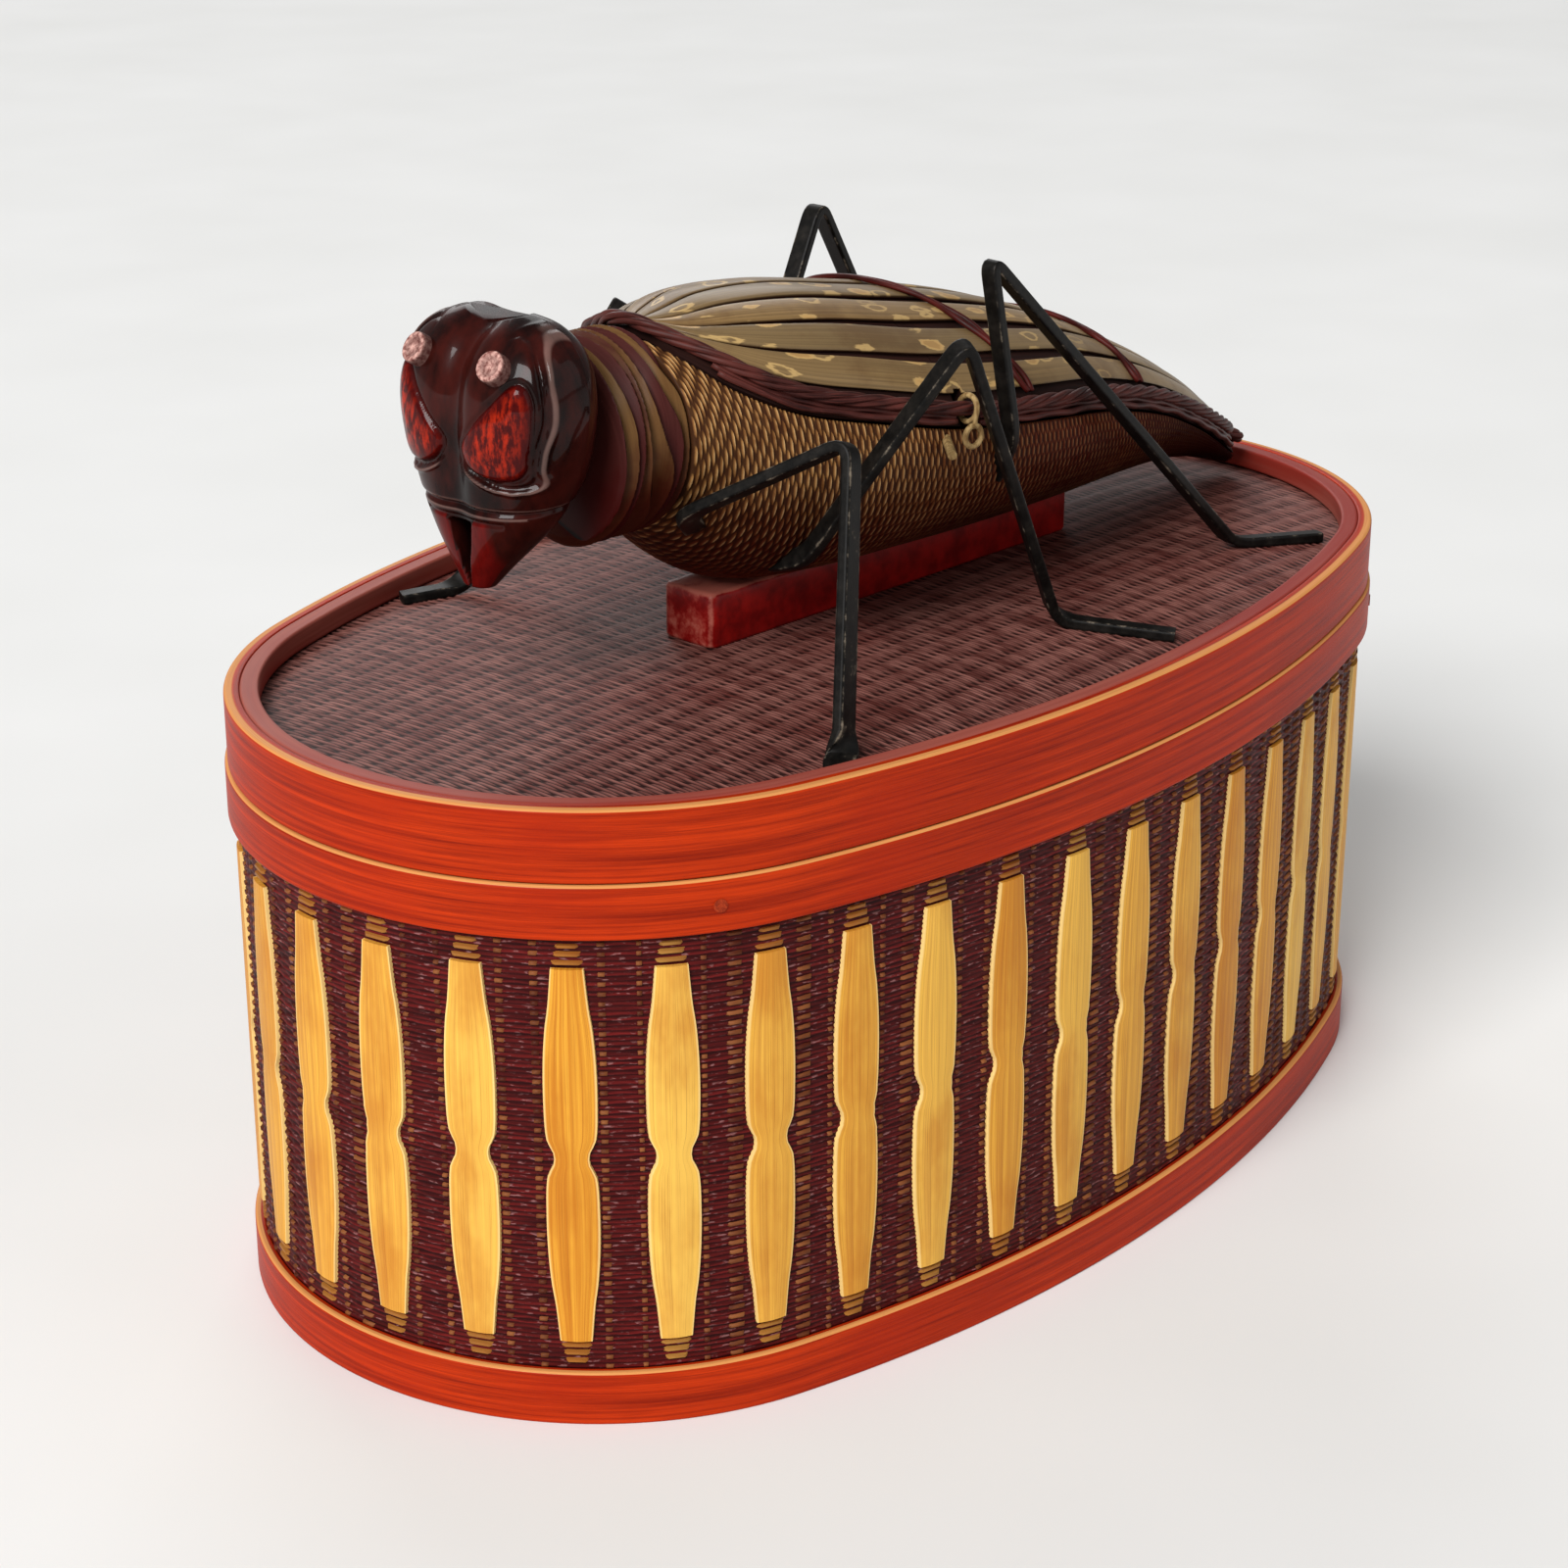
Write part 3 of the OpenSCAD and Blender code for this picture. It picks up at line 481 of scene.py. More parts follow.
in_mouth = IN_INNER + INNER_T
ring = hoop(section(IN_RING, IN_RING + RING_W, Z_CAP, Z_TOP), RING_R)
piece("flat_ring", [ring], WORN, "lid", ["lid_rim_cap"], CREASE)
for name, node in (("rim_lining", "rim_inner_hoop"), ("base_lining", "base_inner_hoop")):
    lining = hoop(section(IN_INNER, in_mouth, *levels(node)), LINING_R)
    piece(name, [lining], BARE, "box", [node], CREASE)
tongue_low, ledge = levels("lid_inner_hoop")
in_tongue = in_mouth + TONGUE_ROOM
inside = in_tongue + TONGUE_T
corners = [(IN_RING, Z_LID), (IN_RING, ledge), (inside, ledge), (inside, tongue_low), (in_tongue, tongue_low),
           (in_tongue, Z_LID)]
piece("lid_lining", [hoop(corners, LINING_R)], BARE, "lid", ["lid_inner_hoop"], CREASE)

# %% [markdown]
# ## The woven wall
# Hair-fine strips of dark bamboo run round and round the wall, row on row, over and under thin stakes. Bump
# alone would look flat at the wall's edge, so the rows are real ridges: two points for each row, raised and
# lowered in turn where a row passes over or under a stake. Columns of points are close together only in the
# gaps between the splints, where the weave is seen.

# %% Weft finish
def dark_weft():
    """Rows of two dark reds, with painted highlights on the crests and painted shade in the grooves."""
    f = Finish("dark weft", specular=0.1)
    row = f.noise(f.laid(0.06, 1.19), 2.0)
    worn = f.noise(f.laid(0.5, 1.7, 4.0))
    crest = f.mark("crest")
    # Pale crest dashes are painted highlights; the near black grooves are painted shade.
    colour = f.coats(rgb(64, 10, 11), (row.above(0.5, 0.2), rgb(112, 26, 25)),
                     (crest * worn.above(0.61, 0.05) * 0.6, rgb(178, 128, 126)),
                     ((1 - crest) * 0.85, rgb(16, 4, 5)))
    return f.done(colour, 0.36 + 0.2 * worn, worn, 0.2, 0.08)


WEFT_FINISH = dark_weft()

# %% The wall
WEFT = 0.84  # height of a row
ROW_UP, ROW_WAVE, GROOVE_IN = 0.26, 0.2, 0.16  # a row's height, its sway at stakes, the grooves' depth
INNER_ROWS, INNER_UP = 41, 0.12
SPLINTS, SPLINT_W = 40, 8.6
STAKE_AT = 5.9  # a stake's distance from its splint's middle
wall_round = 4 * quarter(IN_WEAVE)[1]
pitch = wall_round / SPLINTS
middles = (np.arange(SPLINTS) + 0.5) * pitch

columns = np.array([-pitch / 2, -6.9, -STAKE_AT, -4.9, -4.2, 0, 4.2, 4.9, STAKE_AT, 6.9])
side = np.tile([1, 0.2, -1, -0.3, 0, 0, 0, -0.3, -1, 0.2], SPLINTS)[:, None]
s = (middles[:, None] + columns).reshape(-1)
rows = int((Z_RIM - Z_BASE) / WEFT)
step = np.arange(2 * rows + 1)
row_z = Z_BASE + step * (Z_RIM - Z_BASE) / (2 * rows)
crest = step % 2
over = np.where(step // 2 % 2, 1, -1)
lift = np.pad(crest * (ROW_UP + ROW_WAVE * over * side) - GROOVE_IN, ((0, 0), (1, 1)))
lift[:, [1, -2]] = 0
inner_crest = np.arange(INNER_ROWS) % 2
inner_inset = np.broadcast_to(IN_INNER + INNER_UP * inner_crest - INNER_UP, (len(s), INNER_ROWS))
x, y = oval(out_angle(s % wall_round, IN_WEAVE)[:, None], np.concatenate([IN_WEAVE - lift, inner_inset], 1))
z = np.concatenate([[0], row_z, [Z_SEAM], np.linspace(Z_SEAM, 0, INNER_ROWS)])
wall = tube(points_at(x, y, z), (np.append(s, s[0] + wall_round), np.append(z, 0)), closed=True,
            crest=np.concatenate([np.pad(crest, 1), inner_crest]))
piece("weft_wall", [wall], WEFT_FINISH, "box", ["wall_weave"])

# %% [markdown]
# ## Pads on the wall
# Where a thin stake comes to the front between two rows it shows as a short golden dash, so each stake is a
# ladder of little pillows. The splints' tongues show the same way, as three bars above and below each
# splint. Small bevelled boxes would have many hidden faces, so one function makes all of them as a four by
# four grid whose rim is sunk in the weave.

# %% Stakes as ladders of dashes
def gold_dash():
    """Brown that turns golden along the grain."""
    f = Finish("gold dashes")
    grain = f.noise(f.place(0.1, 0.1, 0.25), 4.0)
    colour = f.mix(grain.above(0.5, 0.18), rgb(72, 27, 14), rgb(138, 82, 44))
    return f.done(colour, 0.45 + 0.15 * grain, grain, 0.2, 0.08)


PAD_SUNK = -0.2


def pads(centre_s, centre_z, half_w, half_h, high, **marks):
    """Pillows on the wall: the inner points of a 4 by 4 grid stand high, the rim lies in the weave."""
    across, up = np.array([-1, -0.72, 0.72, 1]), np.array([-1, -0.6, 0.6, 1])
    inner = np.outer([0, 1, 1, 0], [0, 1, 1, 0])
    walk = centre_s[:, None, None] + half_w[:, None, None] * across[:, None]
    x, y = oval(out_angle(walk % wall_round, IN_WEAVE), IN_WEAVE - np.where(inner, high, PAD_SUNK))
    return patch(points_at(x, y, centre_z[:, None, None] + half_h * up), **marks)


DASH_HALF = [0.55, 0.75, 1.45]  # half widths that stakes have
DASH_ROOM, DASH_HALF_H, DASH_UP = 0.2, 0.34, 0.4
dash_z = row_z[1::2][::2]
rng = np.random.default_rng(7)
ladder = rng.choice(DASH_HALF, (2, SPLINTS)) * rng.uniform(0.9, 1.1, (2, SPLINTS))
away = SPLINT_W / 2 + DASH_ROOM + ladder
dash_s = np.concatenate([middles - away[0], middles + away[1]])
grid_s, grid_z = (g.reshape(-1) for g in np.meshgrid(dash_s, dash_z, indexing="ij"))
dash_w = np.repeat(ladder.reshape(-1), len(dash_z)) * rng.uniform(0.85, 1.05, len(grid_s))
dashes = pads(grid_s, grid_z, dash_w, DASH_HALF_H, DASH_UP)
piece("stake_dashes", [dashes], gold_dash(), "box", ["wall_stakes"])

# %% [markdown]
# ## The notched splints
# The wide pale splints are what the eye sees first. Each is a split of bamboo with its skin side out:
# crowned across, widest a little above and below the middle, and nicked there to a waist. Towards the ends
# of the box only one side has the deep nick. Cutting nicks out of a plain strip would break up its faces,
# so a table of half widths gives the outline, and the grain runs along it.

# %% Splint finish
def golden_splint():
    """Grain of two golds, lighter on some splints, with stains, dark fibres, pale edges and brown tongues."""
    f = Finish("golden splint")
    grain = f.noise(f.laid(0.012, 1.1), 4.0, 0.6)
    fibre = f.noise(f.laid(0.03, 6.0, 9.0))
    stain = f.noise(f.place(0.08, 0.08, 0.035), 4.0, 0.6)
    colour = f.coats(rgb(184, 104, 18), (grain.above(0.5, 0.22), rgb(228, 162, 52)),
                     (f.mark("tone") * 0.55, rgb(250, 214, 106)),
                     (stain.above(0.56, 0.14) * 0.6, rgb(184, 108, 28)),
                     (fibre.above(0.62, 0.07) * 0.5, rgb(146, 86, 32)),
                     (f.mark("edge").above(0.7, 0.2) * 0.7, rgb(246, 214, 142)),
                     (f.mark("tongue") * 0.7, rgb(112, 56, 32)))
    return f.done(colour, 0.36 + 0.18 * grain, fibre + grain, 0.3, 0.12)


GOLD = golden_splint()

# %% Half widths of a splint
def smooth(t, table):
    """Cubic curve through a table of (place, value); each slope comes from the two neighbours."""
    place, value = np.array(table, float).T
    i = np.arange(len(place))
    low, high = np.maximum(i - 1, 0), np.minimum(i + 1, len(place) - 1)
    slope = (value[high] - value[low]) / (place[high] - place[low])
    k = np.clip(np.searchsorted(place, t, side="right") - 1, 0, len(place) - 2)
    d = place[k + 1] - place[k]
    f = (t - place[k]) / d
    ends = (1 + 2 * f) * (1 - f) ** 2 * value[k] + f * f * (3 - 2 * f) * value[k + 1]
    return ends + f * (1 - f) ** 2 * d * slope[k] - f * f * (1 - f) * d * slope[k + 1]


SPLINT_HALF = [(0, 0.325), (0.035, 0.345), (0.1, 0.46), (0.28, 0.5), (0.5, 0.49), (0.68, 0.44), (0.8, 0.375),
               (1, 0.305)]
TONGUE = 5.0  # height of the woven-in tongue at each end
splint_low, splint_high = levels("wall_splints")
splint_mid = (splint_low + splint_high) / 2
splint_half = (splint_high - splint_low) / 2 - TONGUE
along = np.concatenate([[-1], np.linspace(-1, 1, 61), [1]])
half = SPLINT_W * smooth(np.abs(along), SPLINT_HALF)
print("splint", (2 * half.max()).round(2), "mm wide, waist", (2 * half[len(half) // 2]).round(2))

# %% Splints
NICK_SHARE, NICK_FILL = 0.12, 0.85  # height of the nick, and how much of it a shallow one leaves out
CROWN, CROWN_FALL, RIM_SUNK = 0.85, 0.3, -0.1
NICK_START = 0.4  # where round the wall the next shares count from
LEFT_TO, RIGHT_FROM = 0.27, 0.45  # shares of each half round where a side's nick is shallow
nick = np.clip(1 - np.abs(along) / NICK_SHARE, 0, 1)
across = np.array([-1, -0.97, -0.75, -0.4, 0, 0.4, 0.75, 0.97, 1])
share = (middles / wall_round - NICK_START) * 2 % 1
shallow = np.where(across < 0, (share < LEFT_TO)[:, None], (share > RIGHT_FROM)[:, None])
width = half[:, None] + NICK_FILL * nick[:, None] * shallow[:, None]
high = np.tile(CROWN - CROWN_FALL * across ** 2, (len(along), 1))
high[[0, -1]] = high[:, [0, -1]] = RIM_SUNK
x, y = oval(out_angle(middles[:, None, None] + width * across, IN_WEAVE), IN_WEAVE - high)
tone = rng.uniform(0, 1, SPLINTS)
splints = patch(points_at(x, y, (splint_mid + splint_half * along)[:, None]),
                (along * splint_half, across * SPLINT_W / 2), turn=True,
                tone=tone[:, None, None], edge=np.abs(across) > 0.9, tongue=0)
BAR_HALF, BAR_HALF_H, BAR_UP = [2.5, 2.2, 1.85], 0.42, 0.45
BAR_FROM, BAR_STEP = 0.95, 1.4
bar_z = splint_half + BAR_FROM + BAR_STEP * np.arange(len(BAR_HALF))
bar_z = splint_mid + np.concatenate([bar_z, -bar_z])
bars = pads(np.repeat(middles, len(bar_z)), np.tile(bar_z, SPLINTS), np.tile(BAR_HALF, 2 * SPLINTS),
            BAR_HALF_H, BAR_UP, tone=np.repeat(tone, len(bar_z))[:, None, None], edge=0, tongue=1)
piece("splint_set", [splints, bars], GOLD, "box", ["wall_splints"], WIDE_CREASE)

# %% [markdown]
# ## Woven panels
# The lid's panel and the bottom are sheets of fine strands. Strands run across the box; each floats over a
# few millimetres and then dips under, and neighbours dip half a float later, so that the dips line up in
# dotted rows along the box. Modelling strand by strand would cost millions of faces, so the height of a
# plain grid follows that rule. Points beyond the oval are drawn in to its edge, under the ring that covers
# it.

# %% Panel finish
def twill(name, dark, pale, red):
    """Strands of two browns tinted red in places, with painted shade in the dips and between strands."""
    f = Finish(name, specular=0.24)
    tint = f.noise(f.place(0.03, 0.05, 0.05))
    strand = f.noise(f.place(0.9, 0.12, 0.3))
    # The near black on points off the crests is painted shade in the dips and between strands.
    colour = f.coats(dark, (strand.above(0.5, 0.2), pale), (tint.above(0.58, 0.14) * 0.35, red),
                     ((1 - f.mark("crest").above(0.52, 0.36)) * 0.94, rgb(22, 5, 5)))
    return f.done(colour, 0.4 + 0.2 * strand, strand, 0.2, 0.08)


LID_TWILL = twill("lid twill", rgb(98, 52, 46), rgb(156, 102, 92), rgb(108, 36, 30))
BOTTOM_TWILL = twill("bottom twill", rgb(70, 34, 28), rgb(120, 72, 56), rgb(80, 30, 24))

# %% Panel weave
FLOAT = 8  # steps from one dip of a strand to the next
UNDER_STEPS = 160


def later(i):
    """Every second strand dips half a float later; a strand takes two columns."""
    return FLOAT // 2 * (i // 2 % 2)


def woven_oval(inset, level, strand, step, lift):
    """Grid over the oval: level(x, y) plus ridges along Y that dip under at every eighth step."""
    n, m = int(BOX_L / strand) + 1, int(BOX_W / 2 / step) + 1
    i, j = np.meshgrid(np.arange(-n, n + 1), np.arange(-m, m + 1), indexing="ij")
    x, y = i * strand / 2, j * step
    phase = (j + later(i)) % FLOAT
    dip = np.select([phase == 0, (phase == 1) | (phase == FLOAT - 1)], [1.0, 0.2], 0.0)
    crest = i % 2 * (1 - dip)
    far = np.hypot(x, y) / reach(x, y, inset)
    draw = 1 / np.maximum(far, 1)
    x, y = x * draw, y * draw
    z = level(x, y) + lift * (2 * crest - 1) * (far < 1)
    return patch(points_at(x, y, z), turn=True, keep=far < 1, crest=crest)


def plain_under(inset, level, thick):
    """The sheet's edge and its underside: rings of the oval drawn in step by step to the middle."""
    a = circle(UNDER_STEPS)
    x, y = oval(a, inset)
    share = np.array([1, 1, 0.97, 0.9, 0.8, 0.7, 0.6, 0.5, 0.4, 0.3, 0.2, 0.1, 0.02])[:, None]
    x, y = share * x, share * y
    z = level(x, y) - thick * (np.arange(len(share)) > 0)[:, None]
    under = patch(points_at(x, y, z), wrap_v=True, turn=True, crest=1)
    under["rims"] = [(len(share) - 1) * len(a) + np.arange(len(a))[::-1]]
    return under


print("a strand dips at every", FLOAT, "steps, its neighbour", later(2), "later")

# %% Lid panel and bottom
LID_WEAVE, BOTTOM_WEAVE = (0.78, 1.1, 0.22), (2.2, 1.1, 0.2)  # a strand's width, its steps and its lift
PANEL_T, PANEL_CROWN = 2.0, 3.2  # the lid panel's thickness, and its fall from the middle to the edge
FLAT_SHARE = 0.45  # share of the way out over which it is flat


def panel_level(x, y):
    """Flat in the middle, then falling with the square of the share of the way to the edge."""
    k = np.hypot(x, y) / reach(x, y, IN_PANEL)
    return Z_STAND - PANEL_CROWN * np.clip((k - FLAT_SHARE) / (1 - FLAT_SHARE), 0, 1) ** 2


def bottom_level(x, y):
    """Flat, at the level of the bottom's upper face."""
    return np.full(np.broadcast(x, y).shape, bottom_high)


bottom_low, bottom_high = levels("base_panel")
lid_sheet = [woven_oval(IN_PANEL, panel_level, *LID_WEAVE), plain_under(IN_PANEL, panel_level, PANEL_T)]
piece("lid_weave", lid_sheet, LID_TWILL, "lid", ["lid_panel"])
bottom_sheet = [woven_oval(IN_INNER, bottom_level, *BOTTOM_WEAVE),
                plain_under(IN_INNER, bottom_level, bottom_high - bottom_low)]
piece("bottom_weave", bottom_sheet, BOTTOM_TWILL, "box", ["base_panel"])

# %% [markdown]
# ## Where the cricket stands
# The cricket has a frame of its own on the lid: a small shift and turn, with heights above the flat middle
# of the panel. Its body is an egg drawn out to a tail, given by four tables along its length: half width,
# back, belly and the seam where the wing cover meets the basket. A sculpted body would look as good, but
# body, wing cover and cane all follow one skin here, so that they fit each other.

# %% The cricket's frame and skin
CRICKET_Y, CRICKET_TURN = -2.0, math.radians(-3.5)
NECK_X = -56.0
BODY_L, BODY_W = 169.0, 68.0
BELLY, RISE = 10.2, 50.6  # height of the belly, and of the back above it
LEAST = 0.35  # share of the skin's own size that a lowered point keeps
TAB_W = [(0, 0.515), (0.05, 0.64), (0.105, 0.765), (0.19, 0.9), (0.29, 0.985), (0.41, 1), (0.535, 0.925),
         (0.665, 0.78), (0.78, 0.59), (0.88, 0.37), (0.95, 0.19), (1, 0.065)]
TAB_TOP = [(0, 0.93), (0.05, 0.955), (0.105, 0.985), (0.19, 0.972), (0.29, 0.915), (0.41, 0.835),
           (0.535, 0.725), (0.665, 0.56), (0.78, 0.375), (0.88, 0.175), (0.95, 0.01), (1, -0.125)]
TAB_LOW = [(0, 0.31), (0.05, 0.14), (0.105, 0.035), (0.19, 0), (0.29, 0), (0.41, 0), (0.535, 0), (0.665, 0),
           (0.78, -0.025), (0.88, -0.085), (0.95, -0.145), (1, -0.2)]
TAB_SEAM = [(0, 0.94), (0.02, 0.87), (0.05, 0.775), (0.105, 0.68), (0.19, 0.61), (0.29, 0.54), (0.41, 0.49),
            (0.535, 0.43), (0.665, 0.315), (0.78, 0.165), (0.88, 0.02), (0.95, -0.085), (1, -0.165)]


def on_lid(p):
    """Points of the cricket's frame, turned and moved onto the lid."""
    c, s = math.cos(CRICKET_TURN), math.sin(CRICKET_TURN)
    x, y, z = np.moveaxis(p, -1, 0)
    return np.stack([x * c - y * s, CRICKET_Y + x * s + y * c, Z_STAND + z], -1)


def body_z(u, table):
    """Height at share u of the length, from a table of shares of the rise."""
    return BELLY + RISE * smooth(u, table)


def skin(u, a, raised=0.0):
    """Point of the body: an ellipse at share u of the length, at angle a, raised off the skin."""
    w, top, low = BODY_W / 2 * smooth(u, TAB_W), body_z(u, TAB_TOP), body_z(u, TAB_LOW)
    mid, half = (top + low) / 2, (top - low) / 2
    y = -np.maximum(w + raised, LEAST * w) * np.cos(a)
    z = mid + np.maximum(half + raised, LEAST * half) * np.sin(a)
    return points_at(NECK_X + BODY_L * u, y, z)


def seam_angle(u, up):
    """Angle on the skin at a height up above the seam."""
    top, low = body_z(u, TAB_TOP), body_z(u, TAB_LOW)
    share = (body_z(u, TAB_SEAM) + up - (top + low) / 2) / ((top - low) / 2)
    return np.arcsin(np.clip(share, -0.98, 0.98))


print("top of the back at", on_lid(skin(0.105, math.pi / 2)).round(1))

# %% [markdown]
# ## The woven body
# The body is a basket too: strands run round its girth, short floats over and under lengthwise stakes. Its
# colour holds painted light: golden on top and towards the head, redder below and behind, darkest low down as
# painted shade, with painted highlights on the crests and painted shade in the dips. A bump map would do from
# afar, but the outline shows the strands, so the same rule as in the panel raises and dips them. The inner
# wall is a plain coat of the same weave, seen when the wings are open.

# %% Body finish
def body_weave():
    """Gold above as painted light and red below by height, darkest low down as painted shade, with pale
    crests as painted highlights and dark dips as painted shade.
    """
    f = Finish("body weave", specular=0.08)
    strand = f.noise(f.laid(1.0, 0.2))
    patchy = f.noise(f.place(0.04, 0.04, 0.08))
    crest = f.mark("crest")
    up = f.coordinate("Z") + 16 * (patchy - 0.5)
    front = 1 - f.coordinate("X").above(-12, 26)
    gold = f.mix(strand.above(0.5, 0.25), rgb(122, 78, 40), rgb(176, 126, 72))
    red = f.mix(strand, rgb(72, 18, 9), rgb(110, 37, 18))
    pale = crest.above(0.74, 0.18) * strand.above(0.44, 0.12) * up.above(Z_STAND + 20, 12)
    # Painted light: gold on top, mostly towards the head. Painted shade: near black low down, stronger
    # behind, and in the dips. Pale crests are painted highlights.
    colour = f.coats(red, (up.above(Z_STAND + 28, 9) * (0.15 + 0.85 * front), gold),
                     ((1 - up.above(Z_STAND + 25, 8)) * (0.92 - 0.75 * front), rgb(46, 6, 4)),
                     (pale * (0.2 + 0.48 * front), rgb(216, 176, 122)),
                     ((1 - crest.above(0.4, 0.3)) * 0.9, rgb(40, 14, 8)))
    return f.done(colour, 0.38 + 0.2 * strand, strand, 0.2, 0.08)


BODY_FINISH = body_weave()

# %% Body basket
STRAND, BODY_T = 0.65, 2.0
GIRTH, INNER_GIRTH = 152, 28  # steps round the outside and the inside
BODY_FLOAT = np.array([0.7, 1, 1, 1, 0.7, 0.2, 0.12, 0.2])  # a strand's height over one float
BODY_RIDGE, BODY_SUNK, INNER_RIDGE = 0.45, 0.35, 0.2
i = np.arange(2 * int(BODY_L / STRAND) + 1)[:, None]
u = i / (len(i) - 1)
j, j_in = np.arange(GIRTH + 1), np.arange(INNER_GIRTH + 1)[::-1]
seam = seam_angle(u, 0)
ridge = i % 2
crest = ridge * BODY_FLOAT[(j + later(i)) % FLOAT]
outer = skin(u, (math.pi - seam) + (math.pi + 2 * seam) * j / GIRTH, BODY_RIDGE * crest - BODY_SUNK)
inner = skin(u, (math.pi - seam) + (math.pi + 2 * seam) * j_in / INNER_GIRTH, -BODY_T + INNER_RIDGE * ridge)
crest = np.concatenate([crest, np.broadcast_to(0.4 + 0.4 * ridge, inner.shape[:2])], 1)
laid = (i[:, 0] * STRAND / 2, np.concatenate([j * 0.8, j_in * 5.0, [0]]))
body = tube(on_lid(np.concatenate([outer, inner], 1)), laid, crest=crest)
piece("body_weave", [body], BODY_FINISH, "lid", ["body_basket"])

# %% [markdown]
# ## Neck
# Between body and head the neck is wound with wide strips, each lapping half over the last, olive and dark
# red in turn. Separate bands could leave gaps, so it is one surface with steps in it. The radius is a
# saw-tooth of the place along the neck plus the turn round it, so the laps run on a slant, three strips
# side by side.

# %% Neck finish
def wound_strips():
    """Olive or dark red by strip, with painted shade low down and lines of painted shade under the laps."""
    f = Finish("wound strips", coat=0.04, coat_roughness=0.3, specular=0.06)
    fibre = f.noise(f.laid(2.4, 0.06), 4.0, 0.6)
    worn = f.noise(f.place(0.12, 0.12, 0.12))
    olive = f.mix(fibre, rgb(74, 46, 25), rgb(120, 88, 50))
    red = f.mix(fibre, rgb(46, 14, 13), rgb(84, 42, 38))
    share = (f.mark("tone") + 0.6 * (worn - 0.5)).above(0.5, 0.25)
    up = f.coordinate("Z") + 20 * (worn - 0.5)
    # The dark red low down is painted shade on the underside, and the dark lines under the laps are painted
    # shade.
    colour = f.coats(olive, (share, red), ((1 - up.above(Z_STAND + 41, 9)) * 0.9, rgb(56, 5, 4)),
                     (f.mark("lap").above(0.4, 0.2), rgb(20, 5, 4)))
    return f.done(colour, 0.34 + 0.2 * fibre, fibre, 0.3, 0.12)


NECK_FINISH = wound_strips()

# %% Neck wrap
NECK_R, NECK_L, NECK_GAP = 17.2, 15.5, 0.2
NECK_STEP, NECK_END = 1.4, 0.8  # how far a lap stands up, and how far the ends draw in
LAPS, STARTS, NECK_ROUND = 7, 3, 180
neck_z = (body_z(0.0, TAB_TOP) + body_z(0.0, TAB_LOW)) / 2
v = np.linspace(0, 1, 141)[:, None]
turn = circle(NECK_ROUND)
# The sines let the laps wander and vary in width.
phase = LAPS * v + STARTS * turn / (2 * math.pi) + 0.5 * np.sin(turn + 0.6) + 0.42 * np.sin(2 * turn + 5 * v)
phase = phase + 0.2 * np.sin(3 * turn + 9 * v)
strip = np.floor(phase)
tooth = phase - strip
top = 0.68 - 0.24 * np.sin(2 * turn + 2.1 * strip)
rise = np.clip(tooth / top, 0, 1) - np.clip((tooth - top) / (1 - top), 0, 1)
radius = NECK_R - NECK_STEP * (1 - rise) - NECK_END * (np.clip(np.abs(2 * v - 1) - 0.86, 0, 1) / 0.14) ** 2
tone = np.clip(0.5 + 0.5 * np.sin(2.4 * strip) + 0.25 * np.sin(turn), 0, 1)
lap = np.clip((tooth - top) / 0.05, 0, 1) * np.clip((1 - tooth) / 0.04, 0, 1)
x = NECK_X - NECK_L + NECK_GAP + (NECK_L - 2 * NECK_GAP) * v
neck = points_at(x, radius * np.cos(turn), neck_z + radius * np.sin(turn))
neck = tube(on_lid(neck), (v[:, 0] * NECK_L, np.arange(NECK_ROUND + 1) * 0.6), tone=tone, lap=lap)
piece("neck_strips", [neck], NECK_FINISH, "lid", ["neck_wrap"], WIDE_CREASE)

# %% [markdown]
# ## The carved head
# The head is carved from one knob and lacquered nearly black. Two lobes meet in a groove; each side has a
# drop-shaped eye inside a carved ring, a line runs round the face above the mouth, and the jaws part in a
# dark slit. Sculpting would do it by eye. Here the solid's level slices give the form, and the carving is a
# height added along the surface's own normal, so that a cut keeps its width in millimetres wherever it
# runs.

# %% Head finish
def carved_lacquer():
    """Near black, pale on marked lips as rubbed lacquer and painted highlight, with red eyes and jaws and a
    slit painted near black as painted shade.
    """
    f = Finish("carved lacquer", coat=0.22, coat_roughness=0.05, specular=0.04)
    wear = f.noise(f.place(0.12, 0.12, 0.06), 4.0, 0.6)
    fleck = f.noise(f.place(0.9, 0.9, 0.35), 4.0, 0.65)
    eye = f.mix(fleck.above(0.53, 0.13) * f.mark("glow"), rgb(60, 3, 3), rgb(160, 34, 9))
    jaw = f.mix(fleck, rgb(54, 4, 4), rgb(104, 13, 9))
    # The pale on the ring's lip and the face lines is rubbed lacquer and painted highlight; the slit's near
    # black is painted shade.
    colour = f.coats(rgb(18, 5, 4), (wear.above(0.52, 0.16), rgb(58, 16, 11)),
                     (f.mark("worn").above(0.7, 0.25) * (0.05 + 0.4 * wear), rgb(172, 136, 126)),
                     (f.mark("eye"), eye), (f.mark("jaw"), jaw), (f.mark("deep"), rgb(8, 3, 3)))
    return f.done(colour, 0.2 + 0.16 * wear, wear + 0.4 * fleck, 0.15, 0.2)


HEAD_FINISH = carved_lacquer()

